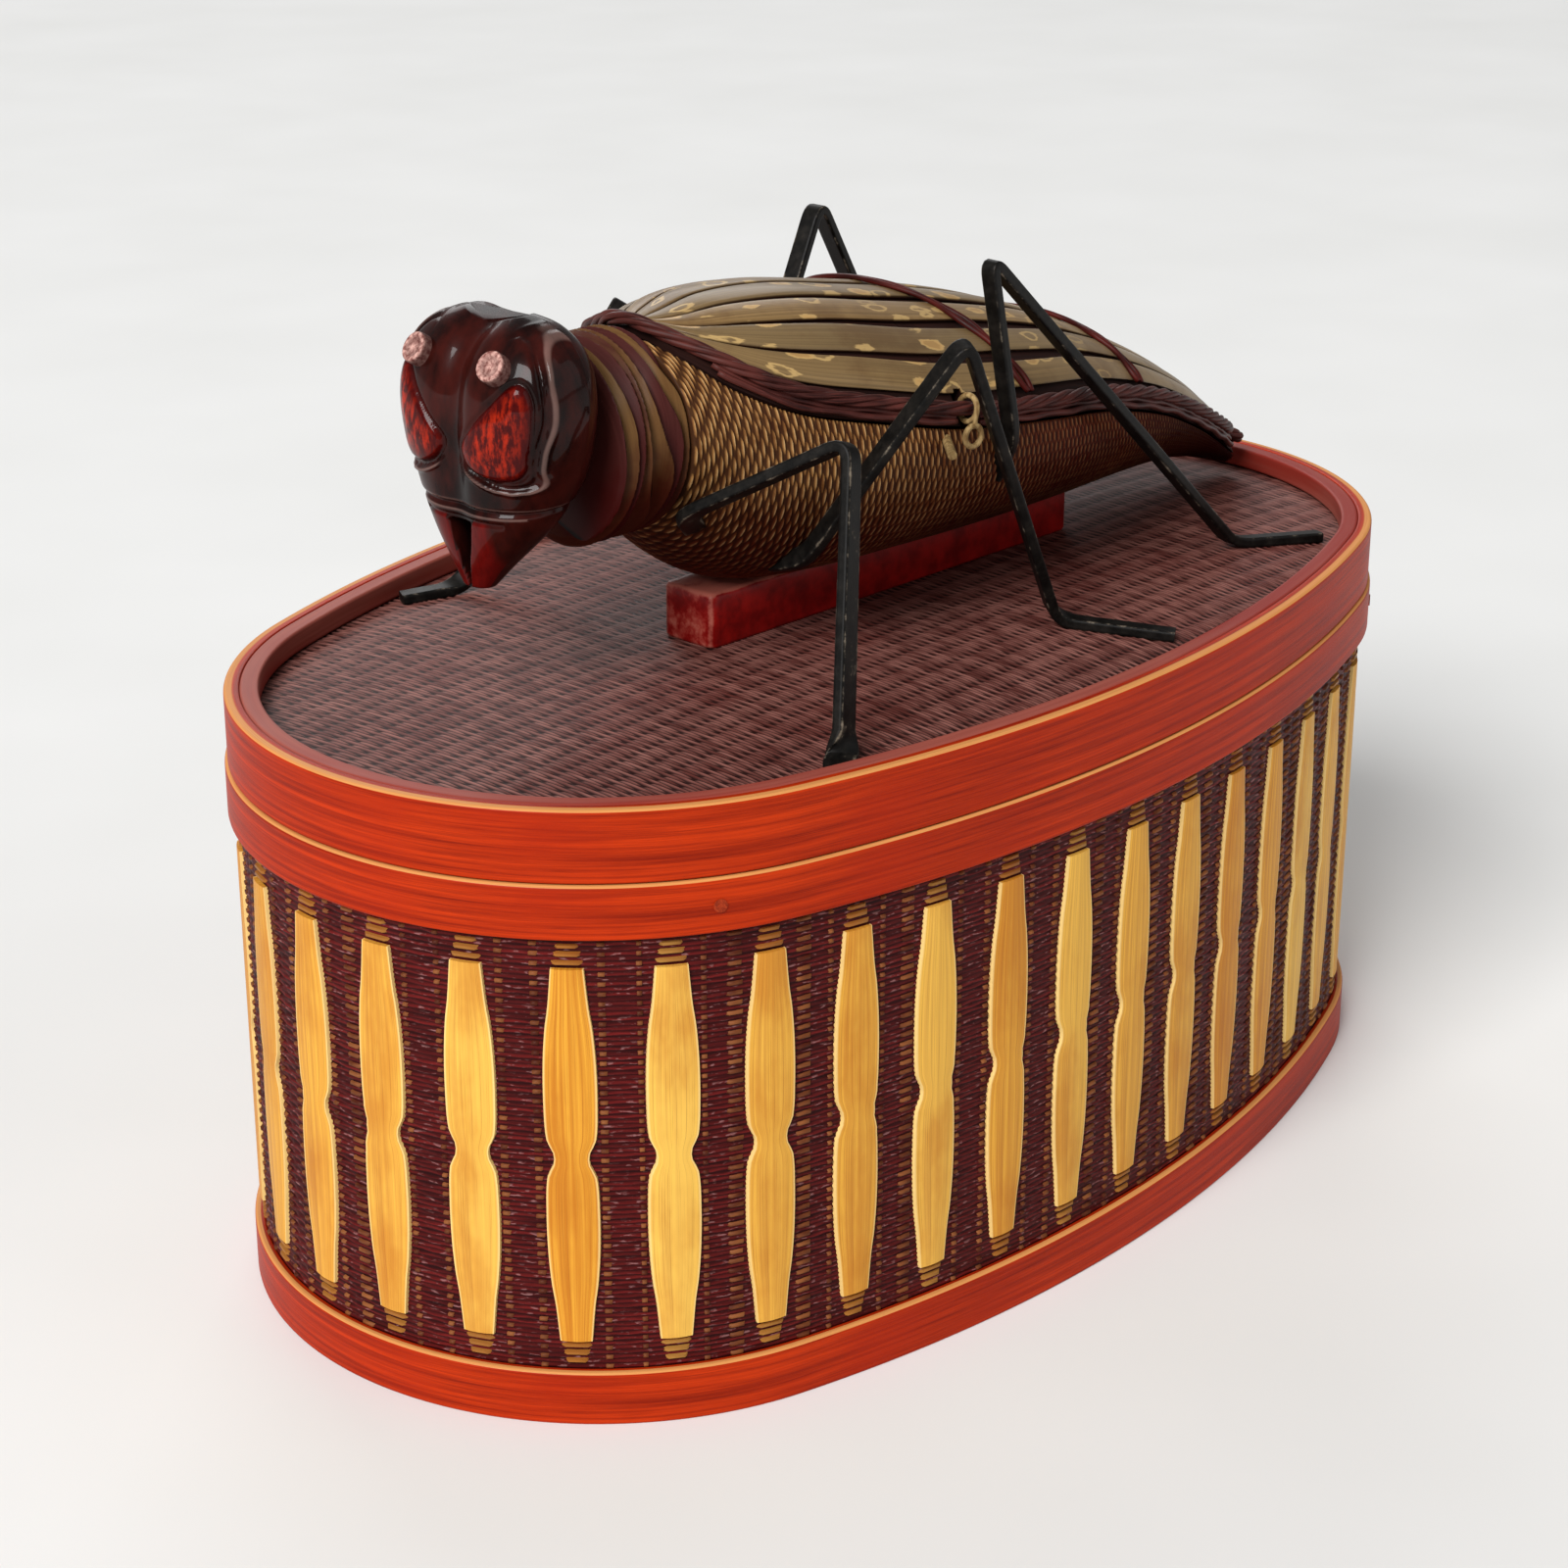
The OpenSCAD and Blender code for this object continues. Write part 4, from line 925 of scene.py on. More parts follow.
# %% Form of the head
HEAD_X, HEAD_L = NECK_X - NECK_L, 21.5
HEAD_W, HEAD_H, MOUTH_Z = 36.5, 44.0, 22.0
GROOVE, NOTCH = 1.6, 2.0  # depth between the lobes, at the front and at the top
HEAD_ROUND = 360
TAB_HEAD_W = [(0, 0.16), (0.08, 0.3), (0.2, 0.55), (0.32, 0.74), (0.45, 0.88), (0.6, 0.98), (0.72, 1),
              (0.85, 0.92), (0.94, 0.7), (1, 0.36)]
TAB_HEAD_FRONT = [(0, 0.84), (0.1, 0.9), (0.3, 0.96), (0.5, 1), (0.68, 1), (0.82, 0.94), (0.93, 0.8),
                  (1, 0.62)]
TAB_HEAD_BACK = [(0, 0.64), (0.1, 0.44), (0.25, 0.2), (0.4, 0.04), (0.55, 0), (0.75, 0), (0.88, 0.06),
                 (0.95, 0.16), (1, 0.3)]


def bell(x, wide):
    """Bell curve: 1 at 0, and e to the minus square of x over its width elsewhere."""
    return np.exp(-(x / wide) ** 2)


def head_form(k, a):
    """Level slice at share k of the height: a rounded oval, dented at the front between the lobes."""
    w = HEAD_W / 2 * smooth(k, TAB_HEAD_W)
    front, back = HEAD_L * smooth(k, TAB_HEAD_FRONT), HEAD_L * smooth(k, TAB_HEAD_BACK)
    c, s = np.cos(a), np.sin(a)
    power = 2 / 2.4
    y = np.sign(s) * np.abs(s) ** power * w
    x = HEAD_X - (front + back) / 2 + np.sign(c) * np.abs(c) ** power * (front - back) / 2
    x = x + GROOVE * bell(y, 3.0) * np.where(c < 0, c ** 2, 0) * np.minimum(1, 2 * k)
    return points_at(x, y, MOUTH_Z + HEAD_H * k - NOTCH * bell(y, 4.5) * k ** 6)


k = np.concatenate([np.linspace(0, 0.9, 140), np.linspace(0.9, 1, 36)[1:]])[:, None]
a = circle(HEAD_ROUND)
form = head_form(k, a)
along_a = np.gradient(np.concatenate([form[:, -2:], form, form[:, :2]], 1), axis=1)[:, 2:-2]
normal = unit(np.cross(along_a, np.gradient(form, axis=0)))
flank, up = np.abs(form[..., 1]), form[..., 2] - MOUTH_Z
print("head", np.ptp(form.reshape(-1, 3), axis=0).round(1), "mm")

# %% Eyes and rings
RING_AT = [(18.5, 11.4), (21, 9.2), (24.2, 8.5), (30, 11), (36, 11.4), (40, 10.4), (42.2, 9.4)]
RING_HALF = [(18.5, 0), (18.8, 2.2), (19.6, 4.1), (21, 5.5), (24.2, 6.9), (30, 5.8), (36, 4.3), (39.5, 2.9),
             (41.5, 1.5), (42.2, 0)]
EYE_AT = [(19.6, 9.8), (21.5, 8.8), (24.2, 8.4), (28, 10.2), (32, 12.1), (35.4, 12.9)]
EYE_HALF = [(19.6, 0), (19.8, 1.9), (20.5, 3.7), (22, 5.3), (24.6, 6.0), (28, 4.9), (31, 3.5), (33.4, 2.2),
            (34.9, 1.0), (35.4, 0)]


def beyond(at, half):
    """Distance out of a drop, to the nearest of many points on its outline; below 0 inside."""
    low, high = at[0][0], at[-1][0]
    z = (low + high) / 2 - (high - low) / 2 * np.cos(np.linspace(0, math.pi, 140))
    middle, wide = smooth(z, at), np.maximum(smooth(z, half), 0)
    y = np.concatenate([middle - wide, middle + wide])
    away = np.sqrt(((flank[..., None] - y) ** 2 + (up[..., None] - np.tile(z, 2)) ** 2).min(-1))
    held = np.clip(up, low, high)
    inside = (np.abs(flank - smooth(held, at)) < smooth(held, half)) & (held == up)
    return np.where(inside, -away, away)


from_ring, from_eye = beyond(RING_AT, RING_HALF), beyond(EYE_AT, EYE_HALF)
print("points inside the eyes:", int((from_eye < 0).sum()))

# %% Carving
LINE_Z = 13.9  # height of the line above the mouth
RING_LIP, RING_CUT, EYE_RISE, EYE_CUT = 0.4, 0.7, 0.9, 0.5
LINE_CUT, LOW_LINE_CUT, SLIT_CUT = 0.7, 0.45, 4.2
facing = np.cos(a) < 0.2
# The ring is left out between the eyes, and the carving fades at the first and last slices.
outer = np.clip(np.maximum((flank - 8) / 2.5, (22 - up) / 2), 0, 1) * facing
ring_cut = (RING_LIP * bell(from_ring - 0.8, 0.35) - RING_CUT * bell(from_ring, 0.42)) * outer
eye_up = (EYE_RISE * np.sqrt(np.clip(-from_eye / 4.5, 0, 1)) - EYE_CUT * bell(from_eye - 0.2, 0.4)) * facing
line_cut = -LINE_CUT * bell(up - LINE_Z, 0.45) - LOW_LINE_CUT * bell(up - LINE_Z + 2.0, 0.35) * (flank < 9)
slit_half = 0.4 + 0.23 * np.clip(up, 0, 20)
slit = np.clip(2.5 * (1 - flank / slit_half), 0, 1) * np.clip(LINE_Z - 2.4 - up, 0, 1) * (np.cos(a) < 0)
fade = np.clip(np.minimum(k / 0.02, (1 - k) / 0.02), 0, 1)
carved = form + normal * ((ring_cut + eye_up + line_cut - SLIT_CUT * slit) * fade)[..., None]
jaw = np.clip((LINE_Z - 1.8 - up) / 0.6, 0, 1) * (flank > slit_half) * np.clip((7 - flank) / 1.5, 0, 1)
lips = bell(up - LINE_Z - 0.7, 0.3) + bell(up - LINE_Z + 0.9, 0.3) * (flank < 12)
# The pale lip marks are rubbed lacquer and painted highlight; the slit's mark paints it near black as painted
# shade.
head = tube(on_lid(carved), eye=np.clip(0.6 - from_eye / 0.5, 0, 1) * facing,
            glow=np.clip(-from_eye / 2.5, 0, 1), jaw=jaw * (np.cos(a) < -0.2),
            worn=bell(from_ring - 0.75, 0.3) * outer + lips, deep=np.clip(1.4 * slit, 0, 1))
piece("head_carving", [head], HEAD_FINISH, "lid", ["head"])

# %% [markdown]
# ## Feeler stubs
# The feelers have broken off or were never set, and two short dowels show their cut ends. A cylinder with a
# bevel would have the shape but no mark for its dark rim, so a profile with a rounded lip is turned about
# each dowel's axis.

# %% Stubs
def cut_dowel():
    """Mottled end grain with a dark rim."""
    f = Finish("cut dowel")
    grain = f.noise(f.place(1.2, 1.2, 1.2), 4.0, 0.65)
    colour = f.coats(rgb(112, 62, 56), (grain.above(0.5, 0.18), rgb(214, 168, 156)),
                     (f.mark("edge"), rgb(52, 18, 16)))
    return f.done(colour, 0.5 + 0.2 * grain, grain, 0.4, 0.15)


def turned(start, direction, radii, places, edge, sides=36):
    """Circles of the given radii at places along an axis: a lathe shape."""
    d = unit(np.array(direction, float))
    across = unit(np.cross(d, [0, 0, 1]))
    t = circle(sides)[:, None]
    ring = np.cos(t) * across + np.sin(t) * np.cross(d, across)
    points = np.array(start) + np.array(places)[:, None, None] * d + np.array(radii)[:, None, None] * ring
    return tube(on_lid(points), edge=np.array(edge)[:, None])


STUB_R, STUB_L = 2.6, HEAD_L * 0.3 + 2.5
STUB_X, STUB_Y, STUB_Z = HEAD_X - HEAD_L * 0.6, HEAD_W * 0.22, MOUTH_Z + HEAD_H * 0.76
stub_places = [0, STUB_L - 0.5, STUB_L - 0.12, STUB_L, STUB_L - 0.05, STUB_L - 0.3, STUB_L - 0.3]
stub_radii = [STUB_R, STUB_R, STUB_R - 0.12, STUB_R - 0.5, STUB_R - 0.8, STUB_R - 1.1, 0.2]
stub_edge = [1, 0.8, 0.2, 0, 0.2, 0.5, 0]
stubs = []
for side in (-1, 1):
    start, lean = [STUB_X, side * STUB_Y, STUB_Z], [-0.8, side * 0.1, 0.5]
    stubs.append(turned(start, lean, stub_radii, stub_places, stub_edge))
piece("feeler_dowels", stubs, cut_dowel(), "lid", ["feeler_stubs"], CREASE)

# %% [markdown]
# ## The red block
# The cricket stands on a block of red lacquer whose edges have rubbed through. A bevelled cube comes close,
# but the wear has to know the edges. So rings of a rounded rectangle are stacked with a small inset at the
# top and bottom, and a mark on those edges lets the pale ground show.

# %% Block
def red_lacquer():
    """Two deep reds, rubbed to a pale ground on marked edges; on the end faces that pale is partly a painted
    sheen.
    """
    f = Finish("red lacquer", coat=0.16, coat_roughness=0.15)
    wear = f.noise(f.place(0.25, 0.25, 0.25), 4.0, 0.65)
    worn = (f.mark("edge") + 0.9 * (wear - 0.5)).above(0.86, 0.14)
    colour = f.coats(rgb(112, 8, 8), (wear.above(0.5, 0.2), rgb(160, 18, 14)),
                     (worn * 0.8, rgb(186, 108, 92)))
    return f.done(colour, 0.3 + 0.25 * wear, wear, 0.2, 0.15)


def rounded_bar(wide, thick, r, arc=4):
    """Outline of a rectangle round the origin with rounded corners."""
    return softened(np.array([wide, thick]) / 2 * [(-1, -1), (1, -1), (1, 1), (-1, 1)], r, arc)


BLOCK_L, BLOCK_W, BLOCK_H, BLOCK_X = 96.0, 12.0, 10.0, 7.0
BLOCK_R, END_WEAR_AND_SHEEN = 1.8, 0.78
rect = rounded_bar(BLOCK_L, BLOCK_W, BLOCK_R, 7)
draw_in = np.array([0.7, 0.2, 0, 0, 0, 0.25, 0.9])[:, None, None]
block_z = np.array([0, 0.2, 0.7, BLOCK_H / 2, BLOCK_H - 0.9, BLOCK_H - 0.25, BLOCK_H])[:, None]
inner_rect = rect * (1 - np.array([2 / BLOCK_L, 2 / BLOCK_W]))
rings = rect + (inner_rect - rect) * draw_in
far_x, far_y = np.abs(rect.T)
corner = np.clip(far_x - (BLOCK_L / 2 - 1.2), 0, 1) * np.clip(far_y - (BLOCK_W / 2 - 1.5), 0, 1)
# On the end faces the rubbed pale also stands for a painted sheen.
upright = np.maximum(0.9 * np.clip(2 * corner, 0, 1), END_WEAR_AND_SHEEN * (far_x > BLOCK_L / 2 - 0.1))
edge = np.maximum(np.array([0.6, 0.6, 0, 0, 0.3, 1, 1])[:, None], upright)
red_block = tube(on_lid(points_at(rings[..., 0] + BLOCK_X, rings[..., 1], block_z)), edge=edge)
piece("red_block", [red_block], red_lacquer(), "lid", ["pedestal"], CREASE)

# %% [markdown]
# ## Bent legs
# Each leg is a flat strip of bamboo, bent over heat and blackened, with its edges rubbed pale. The path is
# a short list of bends with rounded corners. A bevelled curve may twist on its way, so a rounded section is
# carried along the path instead, its width square to the knee's bend and turned level at the foot.

# %% Leg finish
def blackened():
    """Two blacks, rubbed to a pale brown on marked edges."""
    f = Finish("blackened bamboo")
    wear = f.noise(f.place(0.35, 0.35, 0.35), 5.0, 0.7)
    rubbed = (f.mark("edge") + 0.8 * (wear - 0.5)).above(0.88, 0.1)
    colour = f.coats(rgb(11, 10, 9), (wear.above(0.55, 0.2), rgb(32, 29, 26)),
                     (rubbed * 0.8, rgb(150, 136, 118)))
    return f.done(colour, 0.32 + 0.25 * wear, wear, 0.3, 0.15)


BLACK = blackened()

# %% Bending a strip
BEND, BEND_ARC = 4.0, 9  # length of a bend on each side of its corner, and its points
LEG_R = 0.5


def rounded_path(p):
    """The path with each inner corner replaced by a quadratic curve over the bend's length."""
    before, after = p[:-2] - p[1:-1], p[2:] - p[1:-1]
    reach_b = np.minimum(BEND, 0.45 * np.linalg.norm(before, axis=1))[:, None]
    reach_a = np.minimum(BEND, 0.45 * np.linalg.norm(after, axis=1))[:, None]
    curve = bends(p[1:-1] + unit(before) * reach_b, p[1:-1], p[1:-1] + unit(after) * reach_a, BEND_ARC)
    return np.concatenate([p[:1], curve.reshape(-1, 3), p[-1:]])


def tangents(path, closed=False):
    """Unit directions along a path, each from a point's two neighbours."""
    if closed:
        return unit(np.roll(path, -1, 0) - np.roll(path, 1, 0))
    return unit(np.concatenate([path[1:2] - path[:1], path[2:] - path[:-2], path[-1:] - path[-2:-1]]))


def walked(path):
    """Length walked along a path at each of its points."""
    return np.append(0, np.cumsum(np.linalg.norm(np.diff(path, axis=0), axis=1)))


def bent_strip(points, wide, thick, flare):
    """A rounded section carried along a bent path; its width turns level over the last bend."""
    p = np.array(points, float)
    path = rounded_path(p)
    d = tangents(path)
    knee = unit(np.cross(p[-3] - p[-4], p[-2] - p[-3]))
    flat = unit(np.cross(p[-1] - p[-2], [0, 0, 1.0]))
    flat = flat * np.sign(flat @ knee)
    before = np.zeros(len(path) - BEND_ARC - 1)
    v = knee + (flat - knee) * np.concatenate([before, np.linspace(0, 1, BEND_ARC), [1]])[:, None]
    across = unit(v - d * (v * d).sum(1, keepdims=True))
    up = np.cross(across, d)
    outline = rounded_bar(wide, thick, LEG_R)
    edge = np.clip(np.abs(outline[:, 0]) / (wide / 2) + np.abs(outline[:, 1]) / (thick / 2) - 1, 0, 1)
    run = walked(path)
    spread = 1 + (flare - 1) * np.clip(2 * run / run[-1] - 1, 0, 1)
    sideways = outline[:, :1] * (across * spread[:, None])[:, None]
    return tube(on_lid(path[:, None] + sideways + outline[:, 1:] * up[:, None]), edge=edge)


print("a right angle of 10 mm arms, bent:",
      walked(rounded_path(np.array([[10.0, 0, 0], [0, 0, 0], [0, 10.0, 0]])))[-1].round(2), "mm long")

# %% Six legs
LEG_W, LEG_T, LEG_ROOT, SEAT = 3.6, 1.9, 1.2, 0.2
SIDE = BODY_W / 2


def root(u, degrees):
    """Where a leg starts, a little inside the skin."""
    return skin(u, math.radians(degrees), -LEG_ROOT)


def foot(x, y):
    """Point on the panel's surface, half a leg's thickness up."""
    x_lid, y_lid = on_lid(np.array([x, y, 0.0]))[:2]
    return np.array([x, y, panel_level(x_lid, y_lid) - Z_STAND + LEG_T / 2 + SEAT])


# Each leg: its width and the flare of its foot, then its bends from the body to the foot.
LEGS = {
    "front_left": (1.15, 1.3, root(0.03, -50), [-58, -SIDE + 17, 30.5], [-46.5, -SIDE - 9, 45.7],
                   foot(-60, -SIDE - 20), foot(-63, -SIDE - 22)),
    "front_right": (1.0, 1.0, root(0.03, 212), [-40, SIDE + 1, 31], [-18, SIDE + 4, 50.5],
                    foot(-47, SIDE + 18), foot(-57, SIDE + 23)),
    "mid_left": (0.95, 1.0, root(0.124, -55), [-36.5, -SIDE + 10.5, 19.5], [-36.7, -SIDE + 3.5, 28.2],
                 [-25, -SIDE - 14, 59], foot(10.5, -SIDE - 5.5), foot(22, -SIDE - 23)),
    "mid_right": (1.0, 1.0, root(0.27, 215), [-2, SIDE + 7, 24], [16, SIDE + 14, 36],
                  foot(24, SIDE + 24), foot(34, SIDE + 28)),
    "hind_left": (0.82, 1.0, root(0.345, -14), [-1.5, -SIDE - 4.5, 36], [-10.5, -SIDE - 6, 68.5],
                  foot(69.5, -SIDE), foot(88, -SIDE - 7)),
    "hind_right": (1.0, 1.0, root(0.42, 190), [23, SIDE + 6, 36], [35, SIDE + 7, 59.3],
                   foot(76, SIDE + 15), foot(84, SIDE + 16)),
}
for name, (wide, flare, *points) in LEGS.items():
    leg = bent_strip(points, LEG_W * wide, LEG_T, flare)
    piece("bent_" + name, [leg], BLACK, "lid", ["leg_" + name], WIDE_CREASE)

# %% [markdown]
# ## The wing cover
# The wings are one shell over the back, laid with lengthwise strips of spotted bamboo. Between the strips
# run dark gaps that are widest near the middle. Flat strips could be shrink-wrapped onto the back, but both
# shell and strips are the body's own skin raised a little, so they follow it exactly. The shell's edge is
# notched where the ties and the loop go round the cane, so that it can swing open.

# %% Wing finishes
def wing_lining():
    """Two dark browns along the grain."""
    f = Finish("wing lining")
    grain = f.noise(f.laid(0.05, 1.5), 4.0)
    colour = f.mix(grain.above(0.5, 0.25), rgb(22, 8, 7), rgb(46, 22, 16))
    return f.done(colour, 0.6 + 0.2 * grain, grain, 0.3, 0.12)


def spotted_bamboo():
    """Olive grain with a painted sheen, paler and greyer, towards the tail; pale rings and spots by distance
    to scattered points; painted shade on strip sides.
    """
    f = Finish("spotted bamboo", coat=0.18, coat_roughness=0.2)
    grain = f.noise(f.laid(0.02, 1.4), 4.0, 0.6)
    drift = f.noise(f.place(0.03, 0.03, 0.03))
    bend = f.noise(f.laid(0.3, 0.5))
    stain = f.noise(f.place(0.06, 0.06, 0.06), 5.0, 0.65)
    cell = {"Vector": f.laid(0.135, 0.18), "Scale": 1.0, "Randomness": 1.0}
    spot = f.node("ShaderNodeTexVoronoi", cell, out="Distance") + 0.45 * (bend - 0.5)
    lot = f.node("ShaderNodeTexVoronoi", cell, out="Color")
    pick = f.node("ShaderNodeSeparateColor", {0: lot}, out="Red")
    ring = spot.above(0.22, 0.03) * (1 - spot.above(0.34, 0.03)) * pick.above(0.25, 0.02)
    fill = (1 - spot.above(0.3, 0.05)) * pick.above(0.72, 0.02)
    # Towards the tail the strips are painted paler and greyer as a painted sheen, and the spots fade there.
    rear_sheen = (f.coordinate("X") + 30 * (drift - 0.5)).above(35, 30)
    colour = f.coats(rgb(106, 82, 50), (grain.above(0.5, 0.25), rgb(146, 116, 74)),
                     (f.mark("tone") * 0.5, rgb(96, 84, 62)), (rear_sheen * 0.55, rgb(160, 138, 108)),
                     (stain.above(0.58, 0.1) * 0.45, rgb(86, 58, 34)),
                     (ring * (1 - rear_sheen) * 0.7, rgb(198, 164, 106)),
                     (fill * (1 - rear_sheen) * 0.6, rgb(188, 146, 88)), (f.mark("side"), rgb(44, 20, 12)))
    return f.done(colour, 0.36 + 0.16 * grain, grain, 0.25, 0.1)


LINING, SPOTTED = wing_lining(), spotted_bamboo()

# %% Wing shell
CANE_R = 1.3
CANE_UP, CANE_OUT = 1.9 + CANE_R, CANE_R + 0.3
TIE_US, CATCH_U = (0.3, 0.5), 0.29
TIE_CUT, CATCH_CUT = (1.3, CANE_UP + 5.2), (0.9, CANE_UP + 3.0)  # half width and height of a notch
SLOPE = 0.25  # run of a notch's sides
WING_GAP, WING_T = 0.5, 1.6


def notched(u, up, places, cut):
    """Height of an edge above the seam, raised to a notch beside each place."""
    half, high = cut
    for at in places:
        up = np.maximum(up, high * np.clip((half + SLOPE - np.abs(u - at) * BODY_L) / SLOPE, 0, 1))
    return up


def close_by(places, half):
    """Stations at the corners of each notch."""
    return [at + side * d / BODY_L for at in places for side in (-1, 1) for d in (half, half + SLOPE)]


def edges(u, up):
    """Angles of the left and right edge at a height above the seam, with the notches."""
    left = seam_angle(u, notched(u, up, (CATCH_U,), CATCH_CUT))
    return left, math.pi - seam_angle(u, notched(u, up, TIE_US, TIE_CUT))


stations = np.sort(np.concatenate([np.linspace(0.02, 1, 97), close_by(TIE_US, TIE_CUT[0]),
                                   close_by((CATCH_U,), CATCH_CUT[0])]))
u = stations[:, None]
left, right = edges(u, WING_GAP)
a = left + (right - left) * np.linspace(0, 1, 49)
shell = np.concatenate([skin(u, a, 0.0), skin(u, a[:, ::-1], -WING_T)], 1)
shell = tube(on_lid(shell), (stations * BODY_L, np.arange(99) * 1.5))
piece("wing_back", [shell], LINING, "wing_cover", ["wing_shell"], WIDE_CREASE)

# %% Wing strips
STRIP_N = 8
STRIP_UP = CANE_UP + CANE_R + 0.3
STRIP_E, STRIP_T = 0.3, 0.7  # height of a strip's underside over the shell, and its thickness
STRIP_HALF = 4.5
stations = stations[(stations > 0.03) & (stations < 0.965)]
u = stations[:, None]
base = seam_angle(u, STRIP_UP)
share = (math.pi - 2 * base) / STRIP_N
gap = 0.045 + 0.11 * bell(u - 0.4, 0.2)
left, right = edges(u, STRIP_UP)
p = np.array([-1, -0.985, -0.92, -0.7, -0.35, 0, 0.35, 0.7, 0.92, 0.985, 1, 1, 0, -1])
raised = STRIP_E + STRIP_T * np.array([0.3, 0.72, 0.9, 1, 1.1, 1.15, 1.1, 1, 0.9, 0.72, 0.3, 0, 0, 0])
# The side mark paints shade on each strip's flanks and underside, darkening the gaps between strips.
dark = np.array([1, 0.35, 0, 0, 0, 0, 0, 0, 0, 0.35, 1, 1, 1, 1])
strips = []
# Each strip starts elsewhere in the pattern of spots.
for n in range(STRIP_N):
    low = np.maximum(base + share * (n + gap), left)
    high = np.minimum(base + share * (n + 1 - gap), right)
    grid = skin(u, (low + high) / 2 + (high - low) / 2 * p, raised)
    laid = (stations * BODY_L + 37 * n, np.append(p, -1) * STRIP_HALF + 13 * n)
    strips.append(tube(on_lid(grid), laid, side=dark, tone=0.5 + 0.5 * np.sin(2.3 * n)))
piece("wing_slats", strips, SPOTTED, "wing_cover", ["wing_strips"], FINE_CREASE)

# %% [markdown]
# ## Cane, lashings and ties
# A braid of dark cane runs round the wing's edge, with shorter cords below it, and two red lashings cross
# the back. A curve with a round bevel would make one cord. The braid is four cords that wind slowly round
# one closed path, so their paths are worked out together, and each cord is a circle carried along its own
# path.

# %% Cords of cane
def dark_cane(name, dark, pale):
    """Two tones along the fibre, drifting over the length."""
    f = Finish(name, specular=0.15)
    fibre = f.noise(f.laid(0.15, 2.5), 4.0, 0.6)
    drift = f.noise(f.place(0.1, 0.1, 0.1), 2.0)
    colour = f.mix((0.6 * fibre + 0.4 * drift).above(0.5, 0.16), dark, pale)
    return f.done(colour, 0.34 + 0.25 * fibre, fibre, 0.4, 0.12)


def square_to(d):
    """Two directions square to each tangent: one level, the other upwards."""
    across = unit(np.cross(d, [0, 0, 1.0]))
    return across, np.cross(across, d)


def cord(path, r, sides=8, closed=False):
    """A circle carried along a path; it stands square to the path at every point."""
    across, other = square_to(tangents(path, closed))
    t = circle(sides)[:, None]
    ring = np.cos(t) * across[:, None] + np.sin(t) * other[:, None]
    run = walked(path)
    laid = (np.append(run, run[-1] + 1) if closed else run, np.arange(sides + 1) * 2 * math.pi * r / sides)
    return tube(on_lid(path[:, None] + r * ring), laid, closed)


def evenly(path, count):
    """A closed path resampled to equal steps."""
    ends = np.concatenate([path, path[:1]])
    run = walked(ends)
    at = np.arange(count) * run[-1] / count
    return np.stack([np.interp(at, run, ends[:, c]) for c in range(3)], -1)


BRAID = dark_cane("dark braid", rgb(30, 10, 9), rgb(92, 44, 38))
RED_CANE = dark_cane("red lashing", rgb(38, 8, 6), rgb(86, 24, 18))

# %% Path of the cane
FRONT_U, TAIL_U = 0.02, 1.0
TAIL_ROOM = CANE_R + 0.6
edge_u = np.linspace(0.045, 0.985, 120)
front_a = seam_angle(FRONT_U, CANE_UP)
front_arc = math.pi - front_a + (2 * front_a - math.pi) * np.linspace(0, 1, 12)
front_path = skin(FRONT_U, front_arc, CANE_OUT) - [CANE_R, 0, 0]
left_path = skin(edge_u, seam_angle(edge_u, CANE_UP), CANE_OUT)
right_path = skin(edge_u[::-1], math.pi - seam_angle(edge_u[::-1], CANE_UP), CANE_OUT)
tail_y = BODY_W / 2 * smooth(TAIL_U, TAB_W) / 2
tail = np.array([skin(TAIL_U, 0, CANE_OUT) + [TAIL_ROOM, tail_y, CANE_UP],
                 skin(TAIL_U, math.pi, CANE_OUT) + [TAIL_ROOM, -tail_y, CANE_UP]])
cane = evenly(np.concatenate([front_path, left_path, tail, right_path]), 420)
for _ in range(3):
    cane = (np.roll(cane, 1, 0) + 2 * cane + np.roll(cane, -1, 0)) / 4
print("cane round the wing:", walked(cane)[-1].round(1), "mm")

# %% Braid
TWISTS, CORDS, CORD_R = 18, 4, 0.62
LOW_R = 0.6
LOW_CORDS = ((0.6, 1.5), (1.5, 1.15))  # height over the wing's edge, and how far out
LEFT_RUNS = ((0.04, 0.274), (0.306, 0.96))
RIGHT_RUNS = ((0.04, 0.282), (0.318, 0.482), (0.518, 0.96))
across, other = square_to(tangents(cane, closed=True))
cords = []
for n in range(CORDS):
    turn = 2 * math.pi * (np.arange(len(cane)) * TWISTS / len(cane) + n / CORDS)
    off = (CANE_R - CORD_R) * (np.cos(turn)[:, None] * across + np.sin(turn)[:, None] * other)
    cords.append(cord(cane + off, CORD_R, closed=True))
# The low cords sway a little, and stop short of the ties and the loop.
for up, out in LOW_CORDS:
    for u0, u1 in LEFT_RUNS + RIGHT_RUNS:
        t = np.linspace(u0, u1, int(260 * (u1 - u0)))
        a = seam_angle(t, WING_GAP + up + 0.15 * np.sin(t * 90 + up * 3))
        path = skin(t, a if (u0, u1) in LEFT_RUNS else math.pi - a, 0.55 * out)
        cords.append(cord(path, LOW_R, 7))
piece("edge_braid", cords, BRAID, "wing_cover", ["wing_cane"])

